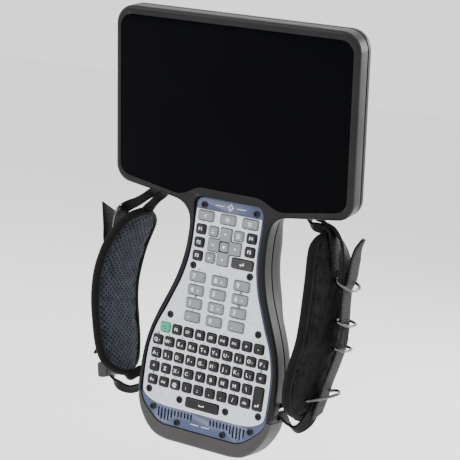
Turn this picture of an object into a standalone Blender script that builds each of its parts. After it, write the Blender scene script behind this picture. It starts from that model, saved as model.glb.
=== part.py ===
"""Hand-held data collector: a wide display head on a waisted keypad handle, with two hand straps.

Driving sizes are in millimetres, in the keypad's own frame: X to the right, Y backwards from the
keypad's front face, Z up from the centre of the space bar.  The finished objects are in metres,
with the origin at the centre of the pole mount plate's rear face.
"""
import math

import bmesh
import bpy
from mathutils import Vector

MM = 0.001
GAP = 0.35                      # clearance between neighbouring pieces

# The housing is one waisted outline, cast as if flat and then bent forward where head meets handle.
BEND_Z = 122.2                  # height at which the keypad plane and the display plane meet
BEND_ANGLE = math.radians(13.36)
BEND_RADIUS = 40.0
FRONT_DEPTH = 11.4              # rear edge of the front housing
REAR_START = 12.4               # front edge of the rear housing; the gasket lies between
WALL = 2.6
HANDLE_DEPTH = 27.0
NECK_DEPTH = 33.5
HEAD_DEPTH = 20.0
HANDLE_PROFILE = [              # half width of the handle at each height
    (24.0, -29.3), (33.0, -27.7), (40.5, -22.8), (46.5, -15.2), (50.4, -6.5), (52.2, 4.0),
    (52.4, 14.0), (52.0, 25.0), (50.7, 35.5), (48.0, 46.5), (43.8, 58.0), (39.2, 69.0),
    (35.0, 80.0), (32.0, 91.0), (30.3, 101.0), (29.8, 110.0), (29.9, 118.0), (31.2, 124.2),
    (34.2, 129.0), (39.2, 132.2), (46.0, 133.6)]
HEAD_HALF_WIDTH = 89.0
HEAD_TOP = BEND_Z + 136.0
HEAD_TOP_RADIUS = 13.0
HEAD_LOW_RADIUS = 12.0
HEAD_LOW_CORNER = BEND_Z + 27.7  # height of the lower corner arcs' centres

GLASS_HALF_WIDTH = 84.5
GLASS_TOP = BEND_Z + 130.2
GLASS_THICKNESS = 1.3

# Keypad stack, front to back
OVERLAY_BACK = 0.5
PLATE_FRONT, PLATE_BACK = 0.8, 2.4
MAT_FRONT, MAT_BACK = 2.75, 3.9
BOARD_FRONT, BOARD_BACK = 4.5, 6.0
POCKET_FLOOR = 6.4
CAVITY_FRONT = 8.4
KEY_TOP = -1.3                  # key tops stand proud of the keypad face
KEY_TRAVEL = 0.8
KEY_BACK = BOARD_FRONT - KEY_TRAVEL - 0.5
CAP_SEAM = -0.4                 # height of the joint between the housings and the bottom cap

KEY_PITCH = 8.98
ROW_PITCH = 9.18
NUMBER_PITCH_X, NUMBER_PITCH_Z = 16.85, 9.05
SMALL_KEY = (7.2, 6.2)
WIDE_KEY = (11.6, 6.4)
CORNER_KEY = (7.0, 6.4)
SELECT_KEY = (6.8, 6.6)
DPAD_CENTRE = 107.0
DPAD_ARM, DPAD_HALF_WIDTH = 12.4, 4.2
PLATE_SCREWS = [(19.7, 132.2), (21.6, 91.2), (33.7, 55.3), (42.2, 2.5), (17.8, 0.1),
                (37.6, -8.9), (17.7, -15.7)]
BOARD_SCREW_INDEX = 4           # the pair beside the space bar stops at the keypad board

MOUNT_PLATE = 2.4               # thickness of the pole mount plate
MOUNT_Y = NECK_DEPTH + GAP + MOUNT_PLATE
MOUNT_Z = 97.0

STYLUS_HEIGHT = BEND_Z + 124.5
STYLUS_DEPTH = 16.2
CAMERA_PLACE = (58.0, BEND_Z + 100.0)
FLASH_PLACE = (44.0, BEND_Z + 100.0)
PORT = (-23.6, -5.2)            # left and right ends of the port cover
PORT_MIDDLE = -14.8             # middle of the connector behind it

UPPER_PIN = (57.5, BEND_Z + 16.5)    # strap pins: distance from the middle, and height
LOWER_PIN = (49.0, 7.0)
PIN_RADIUS = 1.5
STRAP_WIDTH = 15.0
PAD_THICKNESS = 7.0
PAD_MIDDLE_Y = 7.5
LOOP_RADIUS = 2.6               # of the webbing round each pin
WEBBING_STAND_OFF = 9.0         # from the pad's middle layer to the webbing outside it

MATERIALS = {                   # colour, roughness, metallic
    "housing_plastic": ((0.045, 0.045, 0.048), 0.55, 0.0),
    "cap_plastic": ((0.12, 0.115, 0.11), 0.6, 0.0),
    "blue_plate": ((0.13, 0.18, 0.36), 0.4, 0.5),
    "silver_overlay": ((0.58, 0.6, 0.64), 0.4, 0.3),
    "black_key": ((0.012, 0.012, 0.014), 0.4, 0.0),
    "grey_key": ((0.36, 0.4, 0.42), 0.4, 0.2),
    "green_key": ((0.06, 0.45, 0.27), 0.35, 0.0),
    "brown_key": ((0.045, 0.04, 0.04), 0.4, 0.0),
    "rubber": ((0.015, 0.015, 0.016), 0.8, 0.0),
    "glass_black": ((0.003, 0.004, 0.007), 0.06, 0.0),
    "panel_dark": ((0.01, 0.01, 0.012), 0.3, 0.0),
    "circuit_board": ((0.01, 0.09, 0.04), 0.5, 0.0),
    "steel": ((0.55, 0.55, 0.56), 0.3, 1.0),
    "black_screw": ((0.02, 0.02, 0.022), 0.35, 0.8),
    "strap_fabric": ((0.012, 0.012, 0.014), 0.9, 0.0),
    "webbing": ((0.01, 0.01, 0.011), 0.85, 0.0),
    "battery_case": ((0.03, 0.03, 0.034), 0.5, 0.0),
    "ceramic": ((0.6, 0.56, 0.48), 0.5, 0.0),
    "lens_glass": ((0.004, 0.004, 0.008), 0.05, 0.0),
}


# ---------------------------------------------------------------- outlines

def smooth(points, steps=2):
    """A Catmull-Rom curve through the points, with the given steps between each pair."""
    curve = []
    last = len(points) - 1
    for i in range(last):
        p0, p1 = points[max(i - 1, 0)], points[i]
        p2, p3 = points[i + 1], points[min(i + 2, last)]
        for step in range(steps):
            t = step / steps
            curve.append(tuple(
                0.5 * (2 * b + (c - a) * t + (2 * a - 5 * b + 4 * c - d) * t * t
                       + (3 * b - a - 3 * c + d) * t ** 3)
                for a, b, c, d in zip(p0, p1, p2, p3)))
    curve.append(tuple(points[-1]))
    return curve


def arc(centre, radius, start, end, steps):
    """Points on an arc; angles in degrees, 0 along +X and 90 along the second axis."""
    return [(centre[0] + radius * math.cos(math.radians(start + (end - start) * i / steps)),
             centre[1] + radius * math.sin(math.radians(start + (end - start) * i / steps)))
            for i in range(steps + 1)]


def both_sides(right_side):
    """Close a right-hand side, given bottom to top, with its mirror image."""
    return list(right_side) + [(-x, v) for x, v in reversed(right_side)]


def inset(outline, distance):
    """Move every point of a closed counter-clockwise outline inwards along its normal."""
    moved = []
    count = len(outline)
    for i, point in enumerate(outline):
        before, after = outline[i - 1], outline[(i + 1) % count]
        ends = []
        for a, b in ((before, point), (point, after)):
            length = math.hypot(b[0] - a[0], b[1] - a[1])
            ends.append(((a[1] - b[1]) / length, (b[0] - a[0]) / length))
        nx, nv = ends[0][0] + ends[1][0], ends[0][1] + ends[1][1]
        scale = distance * 2 / max(nx * nx + nv * nv, 0.6)
        moved.append((point[0] + nx * scale, point[1] + nv * scale))
    return moved


def rounded_rectangle(x0, x1, v0, v1, radius, steps=2):
    """A counter-clockwise rectangle with rounded corners."""
    corners = [((x1 - radius, v0 + radius), -90), ((x1 - radius, v1 - radius), 0),
               ((x0 + radius, v1 - radius), 90), ((x0 + radius, v0 + radius), 180)]
    outline = []
    for centre, start in corners:
        outline += arc(centre, radius, start, start + 90, steps)
    return outline


def half_width(height):
    """Half width of the handle at a height, read from its profile."""
    curve = smooth(HANDLE_PROFILE, 4)
    for (x0, v0), (x1, v1) in zip(curve, curve[1:]):
        if v0 <= height <= v1:
            return x0 + (x1 - x0) * (height - v0) / (v1 - v0)
    return curve[-1][0]


def housing_outline():
    """The whole casting: bottom, waist, flare, and the head's four rounded corners."""
    low = (HEAD_HALF_WIDTH - HEAD_LOW_RADIUS, HEAD_LOW_CORNER)
    high = (HEAD_HALF_WIDTH - HEAD_TOP_RADIUS, HEAD_TOP - HEAD_TOP_RADIUS)
    side = smooth(HANDLE_PROFILE, 2)
    side += arc(low, HEAD_LOW_RADIUS, -80, 0, 5)
    side += arc(high, HEAD_TOP_RADIUS, 0, 90, 6)
    return both_sides(side)


def cavity_outline(top, wall):
    """The hollow inside the rear housing, clear of the strap pin recesses and of the stylus bore."""
    low_v, corner = BEND_Z + 24.0, 9.0
    width = HEAD_HALF_WIDTH - wall
    side = [(41.5, 2.6), (42.5, 14.5), (47.6, 20.0)]
    side += [(half_width(v) - wall, v) for v in (26, 36, 46.5, 58, 69, 80, 91, 101, 110, 118)]
    side += smooth([(28.5, 128.0), (31.0, low_v - 5.0), (40.0, low_v - 0.6), (60.0, low_v - 0.2)], 2)
    side += arc((width - corner, low_v + corner), corner, -90, 0, 4)
    side += arc((width - corner, top - corner), corner, 0, 90, 4)
    return both_sides(side)


def glass_outline(grow=0.0):
    """The display glass: shallow V along the bottom, with a raised notch over the keypad."""
    bottom = BEND_Z
    side = smooth([(0.0, bottom + 21.8), (14.0, bottom + 21.9), (21.5, bottom + 21.8),
                   (25.7, bottom + 20.6), (29.5, bottom + 18.6), (33.4, bottom + 16.6),
                   (37.2, bottom + 15.5), (41.2, bottom + 15.3), (47.0, bottom + 16.3),
                   (62.0, bottom + 18.8), (77.0, bottom + 21.4)], 1)
    side += arc((GLASS_HALF_WIDTH - 8.0, bottom + 29.6), 8.0, -75, 0, 4)
    side += arc((GLASS_HALF_WIDTH - 8.5, GLASS_TOP - 8.5), 8.5, 0, 90, 5)
    outline = side + [(-x, v) for x, v in reversed(side[1:])]
    return inset(outline, -grow) if grow else outline


def plate_outline(grow=0.0):
    """The blue faceplate's edge."""
    side = [(28.0, -19.0)]
    side += smooth([(33.2, -17.2), (39.8, -12.2), (45.4, -6.6), (47.9, -1.0), (48.4, 8.0),
                    (48.4, 24.0), (47.3, 34.6), (44.0, 47.2), (38.6, 59.3), (33.7, 71.5),
                    (30.4, 80.0), (27.7, 90.0), (26.1, 100.0), (25.6, 110.0), (25.9, 124.0)], 1)
    side += arc((20.5, 131.9), 5.5, 0, 90, 4)
    return inset(both_sides(side), -grow) if grow else both_sides(side)


def overlay_outline():
    """The silver sheet between the two blue bands."""
    side = smooth([(28.0, -6.3), (36.0, -5.4), (42.5, -3.0), (46.4, 0.8), (47.3, 8.0), (47.3, 24.0),
                   (46.2, 34.6), (42.9, 47.2), (37.5, 59.3), (32.6, 71.5), (29.3, 80.0),
                   (26.6, 90.0), (25.0, 100.0), (24.5, 110.0), (24.8, 129.2)], 1)
    return both_sides(side)


# ---------------------------------------------------------------- placing

def world(x, y, z):
    """From the keypad frame, in millimetres, to the finished object's frame in metres."""
    return Vector((x, y - MOUNT_Y, z - MOUNT_Z)) * MM


def flat(x, v, depth):
    """A point on the keypad's plane."""
    return world(x, depth, v)


def bend(x, v, depth):
    """A point on the casting: straight handle, short forward bend, straight head."""
    start = BEND_Z - BEND_RADIUS * math.tan(BEND_ANGLE / 2)
    angle = min(max((v - start) / BEND_RADIUS, 0.0), BEND_ANGLE)
    beyond = v - start - BEND_RADIUS * angle
    y = (BEND_RADIUS + depth) * math.cos(angle) - BEND_RADIUS - beyond * math.sin(angle)
    z = start + (BEND_RADIUS + depth) * math.sin(angle) + beyond * math.cos(angle)
    return world(x, y, z)


def back_depth(v):
    """Depth of the rear face: shallow grip, deep neck for the pole mount, thin head."""
    rise = min(max((v - 62.0) / 20.0, 0.0), 1.0)
    fall = min(max((v - 113.0) / 21.0, 0.0), 1.0)
    rise, fall = (t * t * (3 - 2 * t) for t in (rise, fall))
    return HANDLE_DEPTH + (NECK_DEPTH - HANDLE_DEPTH) * rise - (NECK_DEPTH - HEAD_DEPTH) * fall


# ---------------------------------------------------------------- solids

def material(name):
    existing = bpy.data.materials.get(name)
    if existing:
        return existing
    colour, roughness, metallic = MATERIALS[name]
    made = bpy.data.materials.new(name)
    made.use_nodes = True
    shader = made.node_tree.nodes["Principled BSDF"]
    shader.inputs["Base Color"].default_value = (*colour, 1.0)
    shader.inputs["Roughness"].default_value = roughness
    shader.inputs["Metallic"].default_value = metallic
    return made


def add(name, bm, material_name=None, pivot=None):
    """Turn a bmesh in world metres into an object whose origin is its pivot."""
    bmesh.ops.recalc_face_normals(bm, faces=bm.faces)
    if pivot is not None:
        bmesh.ops.translate(bm, verts=bm.verts, vec=-pivot)
    mesh = bpy.data.meshes.new(name)
    bm.to_mesh(mesh)
    bm.free()
    made = bpy.data.objects.new(name, mesh)
    bpy.context.collection.objects.link(made)
    if pivot is not None:
        made.location = pivot
    if material_name:
        mesh.materials.append(material(material_name))
    else:
        made.hide_render = True
        made.display_type = 'WIRE'
    return made


def ring_faces(bm, first, second):
    count = len(first)
    for i in range(count):
        bm.faces.new((first[i], first[(i + 1) % count], second[(i + 1) % count], second[i]))


def strip_cap(bm, ring):
    """Close a mirrored ring with level strips, so that a bent face stays smooth."""
    last = len(ring) - 1
    for i in range(len(ring) // 2 - 1):
        bm.faces.new((ring[i], ring[i + 1], ring[last - i - 1], ring[last - i]))


def stack(levels, place, strips=False):
    """A closed solid through outlines of equal point counts, each at its own depth."""
    bm = bmesh.new()
    rings = []
    for outline, depth in levels:
        deep = depth if callable(depth) else (lambda v, fixed=depth: fixed)
        rings.append([bm.verts.new(place(x, v, deep(v))) for x, v in outline])
    for first, second in zip(rings, rings[1:]):
        ring_faces(bm, first, second)
    for ring in (rings[0], rings[-1]):
        if strips:
            strip_cap(bm, ring)
        else:
            bm.faces.new(ring)
    return bm


def slab(outline, front, back, place=flat, strips=False):
    return stack([(outline, front), (outline, back)], place, strips)


def join(parts):
    """Put several closed shapes into one bmesh, for use as a cutter."""
    whole = bmesh.new()
    for bm in parts:
        bmesh.ops.recalc_face_normals(bm, faces=bm.faces)
        mesh = bpy.data.meshes.new("joined_shape")
        bm.to_mesh(mesh)
        bm.free()
        whole.from_mesh(mesh)
        bpy.data.meshes.remove(mesh)
    return whole


def slice_level(bm, height, keep_above):
    """Cut a solid level at a height and close the cut."""
    cut = bmesh.ops.bisect_plane(
        bm, geom=bm.verts[:] + bm.edges[:] + bm.faces[:], dist=1e-7,
        plane_co=world(0, 0, height), plane_no=(0, 0, 1),
        clear_inner=keep_above, clear_outer=not keep_above)
    edges = [item for item in cut["geom_cut"] if isinstance(item, bmesh.types.BMEdge)]
    bmesh.ops.contextual_create(bm, geom=edges)
    return bm


def boolean(target, tool, operation='DIFFERENCE'):
    step = target.modifiers.new(tool.name, 'BOOLEAN')
    step.object = tool
    step.operation = operation
    step.solver = 'EXACT'


def box(x0, x1, y0, y1, z0, z1, place=flat, radius=0.0):
    """A block in the keypad frame; with a radius its edges along the depth are rounded."""
    if radius:
        return slab(rounded_rectangle(x0, x1, z0, z1, radius), y0, y1, place)
    return slab([(x0, z0), (x1, z0), (x1, z1), (x0, z1)], y0, y1, place)


def turned(profile, centre, axis, sides=12):
    """A turned solid: profile of (distance along the axis, radius) pairs, in millimetres."""
    bm = bmesh.new()
    axis = Vector(axis).normalized()
    across = axis.orthogonal().normalized()
    other = axis.cross(across)
    rings = []
    for along, radius in profile:
        rings.append([bm.verts.new(
            centre + (axis * along + across * radius * math.cos(2 * math.pi * i / sides)
                      + other * radius * math.sin(2 * math.pi * i / sides)) * MM)
            for i in range(sides)])
    for first, second in zip(rings, rings[1:]):
        ring_faces(bm, first, second)
    bm.faces.new(rings[0])
    bm.faces.new(rings[-1])
    return bm


# ---------------------------------------------------------------- keys

def key_box(cx, cz, size, grow=0.0):
    return (cx - size[0] / 2 - grow, cx + size[0] / 2 + grow,
            cz - size[1] / 2 - grow, cz + size[1] / 2 + grow)


def row_height(row):
    """Rows of the letter block, from row 0 at the power key down to row 4."""
    return 46.06 - ROW_PITCH * row


def mat_keys():
    """Keys moulded on the silicone mat: letters, digits and the three corner keys."""
    keys = []
    for column in range(1, 9):
        keys.append(((column - 4) * KEY_PITCH, row_height(0), SMALL_KEY))
    for row, columns in ((1, 10), (2, 10), (3, 9), (4, 9)):
        for column in range(columns):
            keys.append(((column - 4.5) * KEY_PITCH, row_height(row), SMALL_KEY))
    for row in range(4):
        for column in (-1, 0, 1):
            keys.append((column * NUMBER_PITCH_X, 84.1 - NUMBER_PITCH_Z * row, WIDE_KEY))
    for cx, cz in ((-9.6, 115.8), (9.6, 115.8), (-9.6, 98.2)):
        keys.append((cx, cz, CORNER_KEY))
    return keys


def moving_keys():
    """Keys with their own caps: name, centre, size and finish."""
    keys = {
        "power_key": (-4 * KEY_PITCH, row_height(0), SMALL_KEY, "green_key"),
        "back_key": (-16.8, 125.1, WIDE_KEY, "grey_key"),
        "home_key": (0.0, 125.1, WIDE_KEY, "grey_key"),
        "recent_apps_key": (16.8, 125.1, WIDE_KEY, "grey_key"),
        "select_key": (0.0, DPAD_CENTRE, SELECT_KEY, "grey_key"),
        "enter_key": (15.0, 98.2, (16.2, 6.4), "brown_key"),
        "return_key": (4.5 * KEY_PITCH, 14.0, (7.2, 15.4), "black_key"),
        "space_key": (0.0, 0.0, (25.4, 6.4), "black_key"),
    }
    for number in range(5):
        side = -1 if number < 3 else 1
        row = number if number < 3 else number - 3
        keys["f%d_key" % (number + 1)] = (side * 19.2, 115.9 - 8.9 * row, SMALL_KEY, "black_key")
    return keys


def cross_outline(grow=0.0):
    arm, half = DPAD_ARM + grow, DPAD_HALF_WIDTH + grow
    quarter = [(half, -arm), (half, -half), (arm, -half), (arm, half), (half, half), (half, arm)]
    return [(x, v + DPAD_CENTRE) for x, v in quarter + [(-x, -v) for x, v in quarter]]


def screw_places():
    return [(side * x, z) for x, z in PLATE_SCREWS for side in (-1, 1)]


def key_cutter(front, back):
    """All the windows that keys stand through."""
    windows = [key_box(cx, cz, size, 0.5) for cx, cz, size in mat_keys()]
    windows += [key_box(cx, cz, size, 0.5) for cx, cz, size, _ in moving_keys().values()
                if size != SELECT_KEY]
    parts = [box(x0, x1, front, back, z0, z1) for x0, x1, z0, z1 in windows]
    parts.append(slab(cross_outline(0.55), front, back))
    return parts


def speaker_slots():
    """Eleven slots on each side; the outer ones run deeper, down to the chamfered corner."""
    bottoms = [-14.4, -16.2, -16.2, -16.2, -14.0] + [-12.1] * 6
    slots = []
    for side in (-1, 1):
        for number, bottom in enumerate(bottoms):
            x = side * (32.9 - 2.55 * number)
            slots.append(box(x - 0.55, x + 0.55, PLATE_FRONT - 1, PLATE_BACK + 1, bottom, -8.0))
    return slots


# ---------------------------------------------------------------- build

def clear_scene():
    for existing in list(bpy.data.objects):
        bpy.data.objects.remove(existing, do_unlink=True)


def outer_levels(outline, front_only=False, rear_only=False):
    """The casting's rounded front edge and its fuller rear edge, from front to back."""
    front = [(inset(outline, 3.0), 0.0), (inset(outline, 0.9), 0.8), (outline, 2.8)]
    rear = []
    for part, distance in ((0.35, 0.0), (0.62, 1.1), (0.82, 3.4), (0.94, 6.4), (1.0, 10.2)):
        rear.append((inset(outline, distance),
                     lambda v, t=part: REAR_START + t * (back_depth(v) - REAR_START)))
    if front_only:
        return front + [(outline, FRONT_DEPTH)]
    if rear_only:
        return [(outline, REAR_START)] + rear
    return front + rear


def rear_cavity_levels(outline):
    levels = [(outline, REAR_START - 1.5)]
    for part, distance in ((0.5, 0.0), (0.8, 1.8), (1.0, 6.0)):
        levels.append((inset(outline, distance),
                       lambda v, t=part: REAR_START + t * (back_depth(v) - WALL - REAR_START)))
    return levels


def pocket_cutter():
    return add("plate_pocket_cutter", slab(plate_outline(GAP), -14.0, POCKET_FLOOR))


def side_box(sign, near, far, front, back, low, high, place=flat):
    """A block on one side of the object, between two distances from its middle."""
    x0, x1 = sorted((sign * near, sign * far))
    return box(x0, x1, front, back, low, high, place)


def strap_recesses(spare=0.0):
    """Openings that hold the strap pins: under the head, and in the handle's sides."""
    parts = []
    for sign in (-1, 1):
        x, v = UPPER_PIN
        parts.append(side_box(sign, x - 6.2, x + 6.2, 3.6 - spare, 18.6 + spare, v - 12, v + 5.0, bend))
        x, v = LOWER_PIN
        parts.append(side_box(sign, x - 3.4, x + 12, 8.2 - spare, 22.2 + spare, v - 5.8, v + 5.8))
    return join(parts)


def strap_pins(radius, spare, sides):
    """The four pins' shapes by name; with spare, the holes that hold them."""
    pins = {}
    for side, sign in (("left", -1), ("right", 1)):
        for level, (x, v), place, front, back in (("upper", UPPER_PIN, bend, 3.0, 18.9),
                                                  ("lower", LOWER_PIN, flat, 7.8, 22.6)):
            start, end = place(sign * x, v, front - spare), place(sign * x, v, back + spare)
            profile = [(0, radius), ((end - start).length / MM, radius)]
            pins["strap_pin_%s_%s" % (side, level)] = turned(profile, start, end - start, sides)
    return pins


def build_housings(outline):
    pocket = pocket_cutter()
    pin_holes = list(strap_pins(PIN_RADIUS + GAP, 0.3, 10).values())
    recesses = [add("strap_recess_cutter", strap_recesses()),
                add("strap_pin_hole_cutter", join(pin_holes))]

    front = stack(outer_levels(outline, front_only=True), bend, strips=True)
    front = add("front_housing", slice_level(front, CAP_SEAM + 0.2, True), "housing_plastic")
    boolean(front, pocket)
    boolean(front, add("glass_pocket_cutter", slab(glass_outline(GAP), -2.0, 1.9, bend)))
    window = rounded_rectangle(-80.5, 80.5, BEND_Z + 25.5, BEND_Z + 126.5, 3.0)
    boolean(front, add("window_cutter", slab(window, 1.0, 10.0, bend)))
    head_hollow = rounded_rectangle(-86.0, 86.0, BEND_Z + 24.5, BEND_Z + 133.0, 9.0, 3)
    boolean(front, add("head_hollow_cutter", slab(head_hollow, CAVITY_FRONT, 14.0, bend)))
    side = [(41.5, 2.6), (42.5, 14.5), (47.6, 20.0)]
    side += [(half_width(v) - WALL, v) for v in (26, 36, 46.5, 58, 69, 80, 91, 101, 114)]
    boolean(front, add("handle_hollow_cutter", slab(both_sides(side), CAVITY_FRONT, 14.0)))
    holes = [turned([(0, 1.35), (14.0, 1.35)], world(x, -6.0, z), (0, 1, 0), 8)
             for number, (x, z) in enumerate(screw_places())
             if z > 1 and number // 2 != BOARD_SCREW_INDEX]
    boolean(front, add("front_screw_hole_cutter", join(holes)))

    rear = stack(outer_levels(outline, rear_only=True), bend, strips=True)
    rear = add("rear_housing", slice_level(rear, CAP_SEAM + 0.2, True), "housing_plastic")
    hollow = stack(rear_cavity_levels(cavity_outline(STYLUS_HEIGHT - 9.0, WALL)), bend, strips=True)
    boolean(rear, add("rear_hollow_cutter", hollow))
    boolean(rear, add("battery_bay_cutter", box(-27.4, 27.4, 20.0, 32.0, 3.3, 62.5, radius=0.9)))
    bore = turned([(0, 2.9), (112.0, 2.9)], bend(-90.0, STYLUS_HEIGHT, STYLUS_DEPTH), (1, 0, 0), 12)
    boolean(rear, add("stylus_bore_cutter", bore))
    lens_holes = []
    for (cx, cv), radius in ((CAMERA_PLACE, 5.6), (FLASH_PLACE, 3.0)):
        start, end = bend(cx, cv, 14.0), bend(cx, cv, 23.0)
        lens_holes.append(turned([(0, radius), (9.0, radius)], start, end - start, 16))
    boolean(rear, add("camera_hole_cutter", join(lens_holes)))
    for housing in (front, rear):
        for cutter in recesses:
            boolean(housing, cutter)
    return pocket


def build_bottom_cap(outline, pocket):
    cap = stack(outer_levels(outline), bend, strips=True)
    cap = add("bottom_cap", slice_level(cap, CAP_SEAM - 0.2, False), "cap_plastic")
    boolean(cap, pocket)
    hollow = [(20.0, -26.4), (33.0, -24.2), (41.0, -15.5), (45.5, -5.0), (46.0, 3.0)]
    boolean(cap, add("cap_hollow_cutter", slab(both_sides(hollow), CAVITY_FRONT, 24.2)))
    recess = box(PORT[0] - 0.5, PORT[1] + 0.5, 8.6, 17.4, -32.0, -27.4)
    boolean(cap, add("port_recess_cutter", recess))
    port_hole = box(PORT_MIDDLE - 4.7, PORT_MIDDLE + 4.7, 10.4, 15.6, -30.0, -20.0)
    boolean(cap, add("port_hole_cutter", port_hole))
    holes = [turned([(0, 1.35), (14.0, 1.35)], world(x, -6.0, z), (0, 1, 0), 8)
             for x, z in screw_places() if z < -5]
    boolean(cap, add("cap_screw_hole_cutter", join(holes)))


def build_gasket(outline):
    """A flat sealing loop between the housings."""
    front, back = FRONT_DEPTH + GAP, REAR_START - GAP
    loop = add("housing_gasket", slab(inset(outline, 0.5), front, back, bend, strips=True), "rubber")
    boolean(loop, add("gasket_end_cutter", box(-60, 60, 0, 40, -60, 1.4)))
    inner = [(39.5, 3.2), (40.5, 16.5), (45.8, 21.8)]
    inner += [(half_width(v) - WALL - 0.6, v) for v in (28, 36, 46.5, 58, 69, 80, 91, 101, 110)]
    inner += [(half_width(118) - 3.0, 119), (31.5, BEND_Z + 19), (40.0, BEND_Z + 24.4),
              (83.6, BEND_Z + 25.0), (86.2, BEND_Z + 29.0), (86.2, BEND_Z + 123.0),
              (82.6, BEND_Z + 130.0), (76.0, BEND_Z + 133.2)]
    loop_cutter = slab(both_sides(inner), front - 1, back + 1, bend, strips=True)
    boolean(loop, add("gasket_loop_cutter", loop_cutter))
    boolean(loop, add("gasket_recess_cutter", strap_recesses(1.0)))


def build_display():
    add("display_glass", slab(glass_outline(), 0.25, 0.25 + GLASS_THICKNESS, bend), "glass_black")
    add("display_panel", box(-79, 79, 2.2, 5.6, BEND_Z + 27, BEND_Z + 125, bend, 1.5), "panel_dark")
    add("main_board", box(-74, 74, 6.4, 8.0, BEND_Z + 30, BEND_Z + 110, bend, 3.0), "circuit_board")
    add("gnss_antenna", box(-12.5, 12.5, 6.4, 11.0, BEND_Z + 111.5, BEND_Z + 125.5, bend, 1.0), "ceramic")


def build_keypad():
    plate = add("faceplate", slab(plate_outline(), PLATE_FRONT, PLATE_BACK), "blue_plate")
    overlay = add("keypad_overlay", slab(overlay_outline(), 0.0, OVERLAY_BACK), "silver_overlay")
    windows = add("key_window_cutter", join(key_cutter(-1.0, 3.4)))
    shanks = add("plate_screw_hole_cutter", join(
        [turned([(0, 1.4), (9.0, 1.4)], world(x, -1.0, z), (0, 1, 0), 8) for x, z in screw_places()]))
    heads = add("overlay_screw_hole_cutter", join(
        [turned([(0, 2.6), (3.0, 2.6)], world(x, -1.0, z), (0, 1, 0), 12)
         for x, z in screw_places() if -5 < z < 129]))
    sound = add("speaker_slot_cutter", join(speaker_slots()))
    for cutter in (windows, shanks, sound):
        boolean(plate, cutter)
    for cutter in (windows, heads):
        boolean(overlay, cutter)

    mat_side = [(20.0, -4.4), (38.0, -4.4), (44.8, -0.5), (46.2, 8.0), (46.2, 24.0), (45.0, 34.6),
                (41.8, 47.2), (36.4, 59.3), (31.4, 71.5), (28.2, 80.0), (25.5, 90.0), (24.0, 100.0),
                (23.6, 110.0), (23.8, 129.4)]
    mat = add("keypad_mat", slab(both_sides(mat_side), MAT_FRONT, MAT_BACK), "rubber")
    buttons = []
    for cx, cz, size in mat_keys():
        x0, x1, z0, z1 = key_box(cx, cz, size)
        buttons.append(box(x0, x1, KEY_TOP, MAT_FRONT + 0.4, z0, z1))
    boolean(mat, add("mat_button_shape", join(buttons)), 'UNION')
    clear = [slab(cross_outline(0.55), MAT_FRONT - 1, MAT_BACK + 1)]
    for cx, cz, size, _ in moving_keys().values():
        if size != SELECT_KEY:
            x0, x1, z0, z1 = key_box(cx, cz, size, 0.5)
            clear.append(box(x0, x1, MAT_FRONT - 1, MAT_BACK + 1, z0, z1))
    boolean(mat, add("mat_window_cutter", join(clear)))
    boolean(mat, shanks)
    board = add("keypad_board", slab(both_sides(mat_side), BOARD_FRONT, BOARD_BACK), "circuit_board")
    boolean(board, shanks)


def build_keys():
    for name, (cx, cz, size, finish) in moving_keys().items():
        x0, x1, z0, z1 = key_box(cx, cz, size)
        outline = rounded_rectangle(x0, x1, z0, z1, 1.2)
        cap = stack([(inset(outline, 0.5), KEY_TOP), (outline, KEY_TOP + 0.5), (outline, KEY_BACK)], flat)
        add(name, cap, finish, pivot=world(cx, KEY_BACK, cz))
    cross = stack([(inset(cross_outline(), 0.4), KEY_TOP), (cross_outline(), KEY_TOP + 0.4),
                   (cross_outline(), KEY_BACK)], flat)
    pad = add("direction_pad", cross, "grey_key", pivot=world(0, KEY_BACK, DPAD_CENTRE))
    select = key_box(0.0, DPAD_CENTRE, SELECT_KEY, 0.55)
    hole = box(*select[:2], -3.0, 5.0, *select[2:])
    boolean(pad, add("select_hole_cutter", hole))


def build_screws():
    for number, (x, z) in enumerate(screw_places()):
        end = 5.9 if number // 2 == BOARD_SCREW_INDEX else 7.8
        profile = [(-0.3, 1.8), (-0.05, 2.2), (0.45, 2.2), (0.451, 1.0), (end, 1.0)]
        screw = turned(profile, world(x, 0, z), (0, 1, 0), 10)
        add("plate_screw_%02d" % (number + 1), screw, "black_screw")


def build_speakers():
    for side, name in ((-1, "speaker_left"), (1, "speaker_right")):
        x0, x1 = sorted((side * 8.0, side * 34.0))
        add(name, box(x0, x1, 2.9, 6.0, -13.9, -6.0, radius=2.0), "black_key")


def build_handle_rear():
    add("battery_pack", box(-25.5, 25.5, 12.8, 24.4, 6.2, 60.0, radius=3.0), "battery_case")
    door = box(-27.0, 27.0, 24.8, 26.9, 3.8, 62.1, radius=0.7)
    add("battery_door", door, "housing_plastic", pivot=world(0, 26.0, 4.8))
    grip = rounded_rectangle(-7, 7, 51.0, 57.0, 1.5)
    latch = stack([(grip, 27.25), (inset(grip, 0.6), 28.6)], flat)
    add("battery_latch", latch, "cap_plastic", pivot=world(0, 27.25, 54.0))
    block = box(-17.5, 17.5, NECK_DEPTH + GAP, MOUNT_Y, MOUNT_Z - 12, MOUNT_Z + 12, radius=3.0)
    plate = add("pole_mount_plate", block, "steel")
    holes = []
    for side in (-1, 1):
        for level in (-1, 1):
            place = world(side * 12.0, NECK_DEPTH - 2, MOUNT_Z + level * 7.5)
            holes.append(turned([(0, 2.0), (8.0, 2.0)], place, (0, 1, 0), 12))
    boolean(plate, add("mount_hole_cutter", join(holes)))


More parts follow.
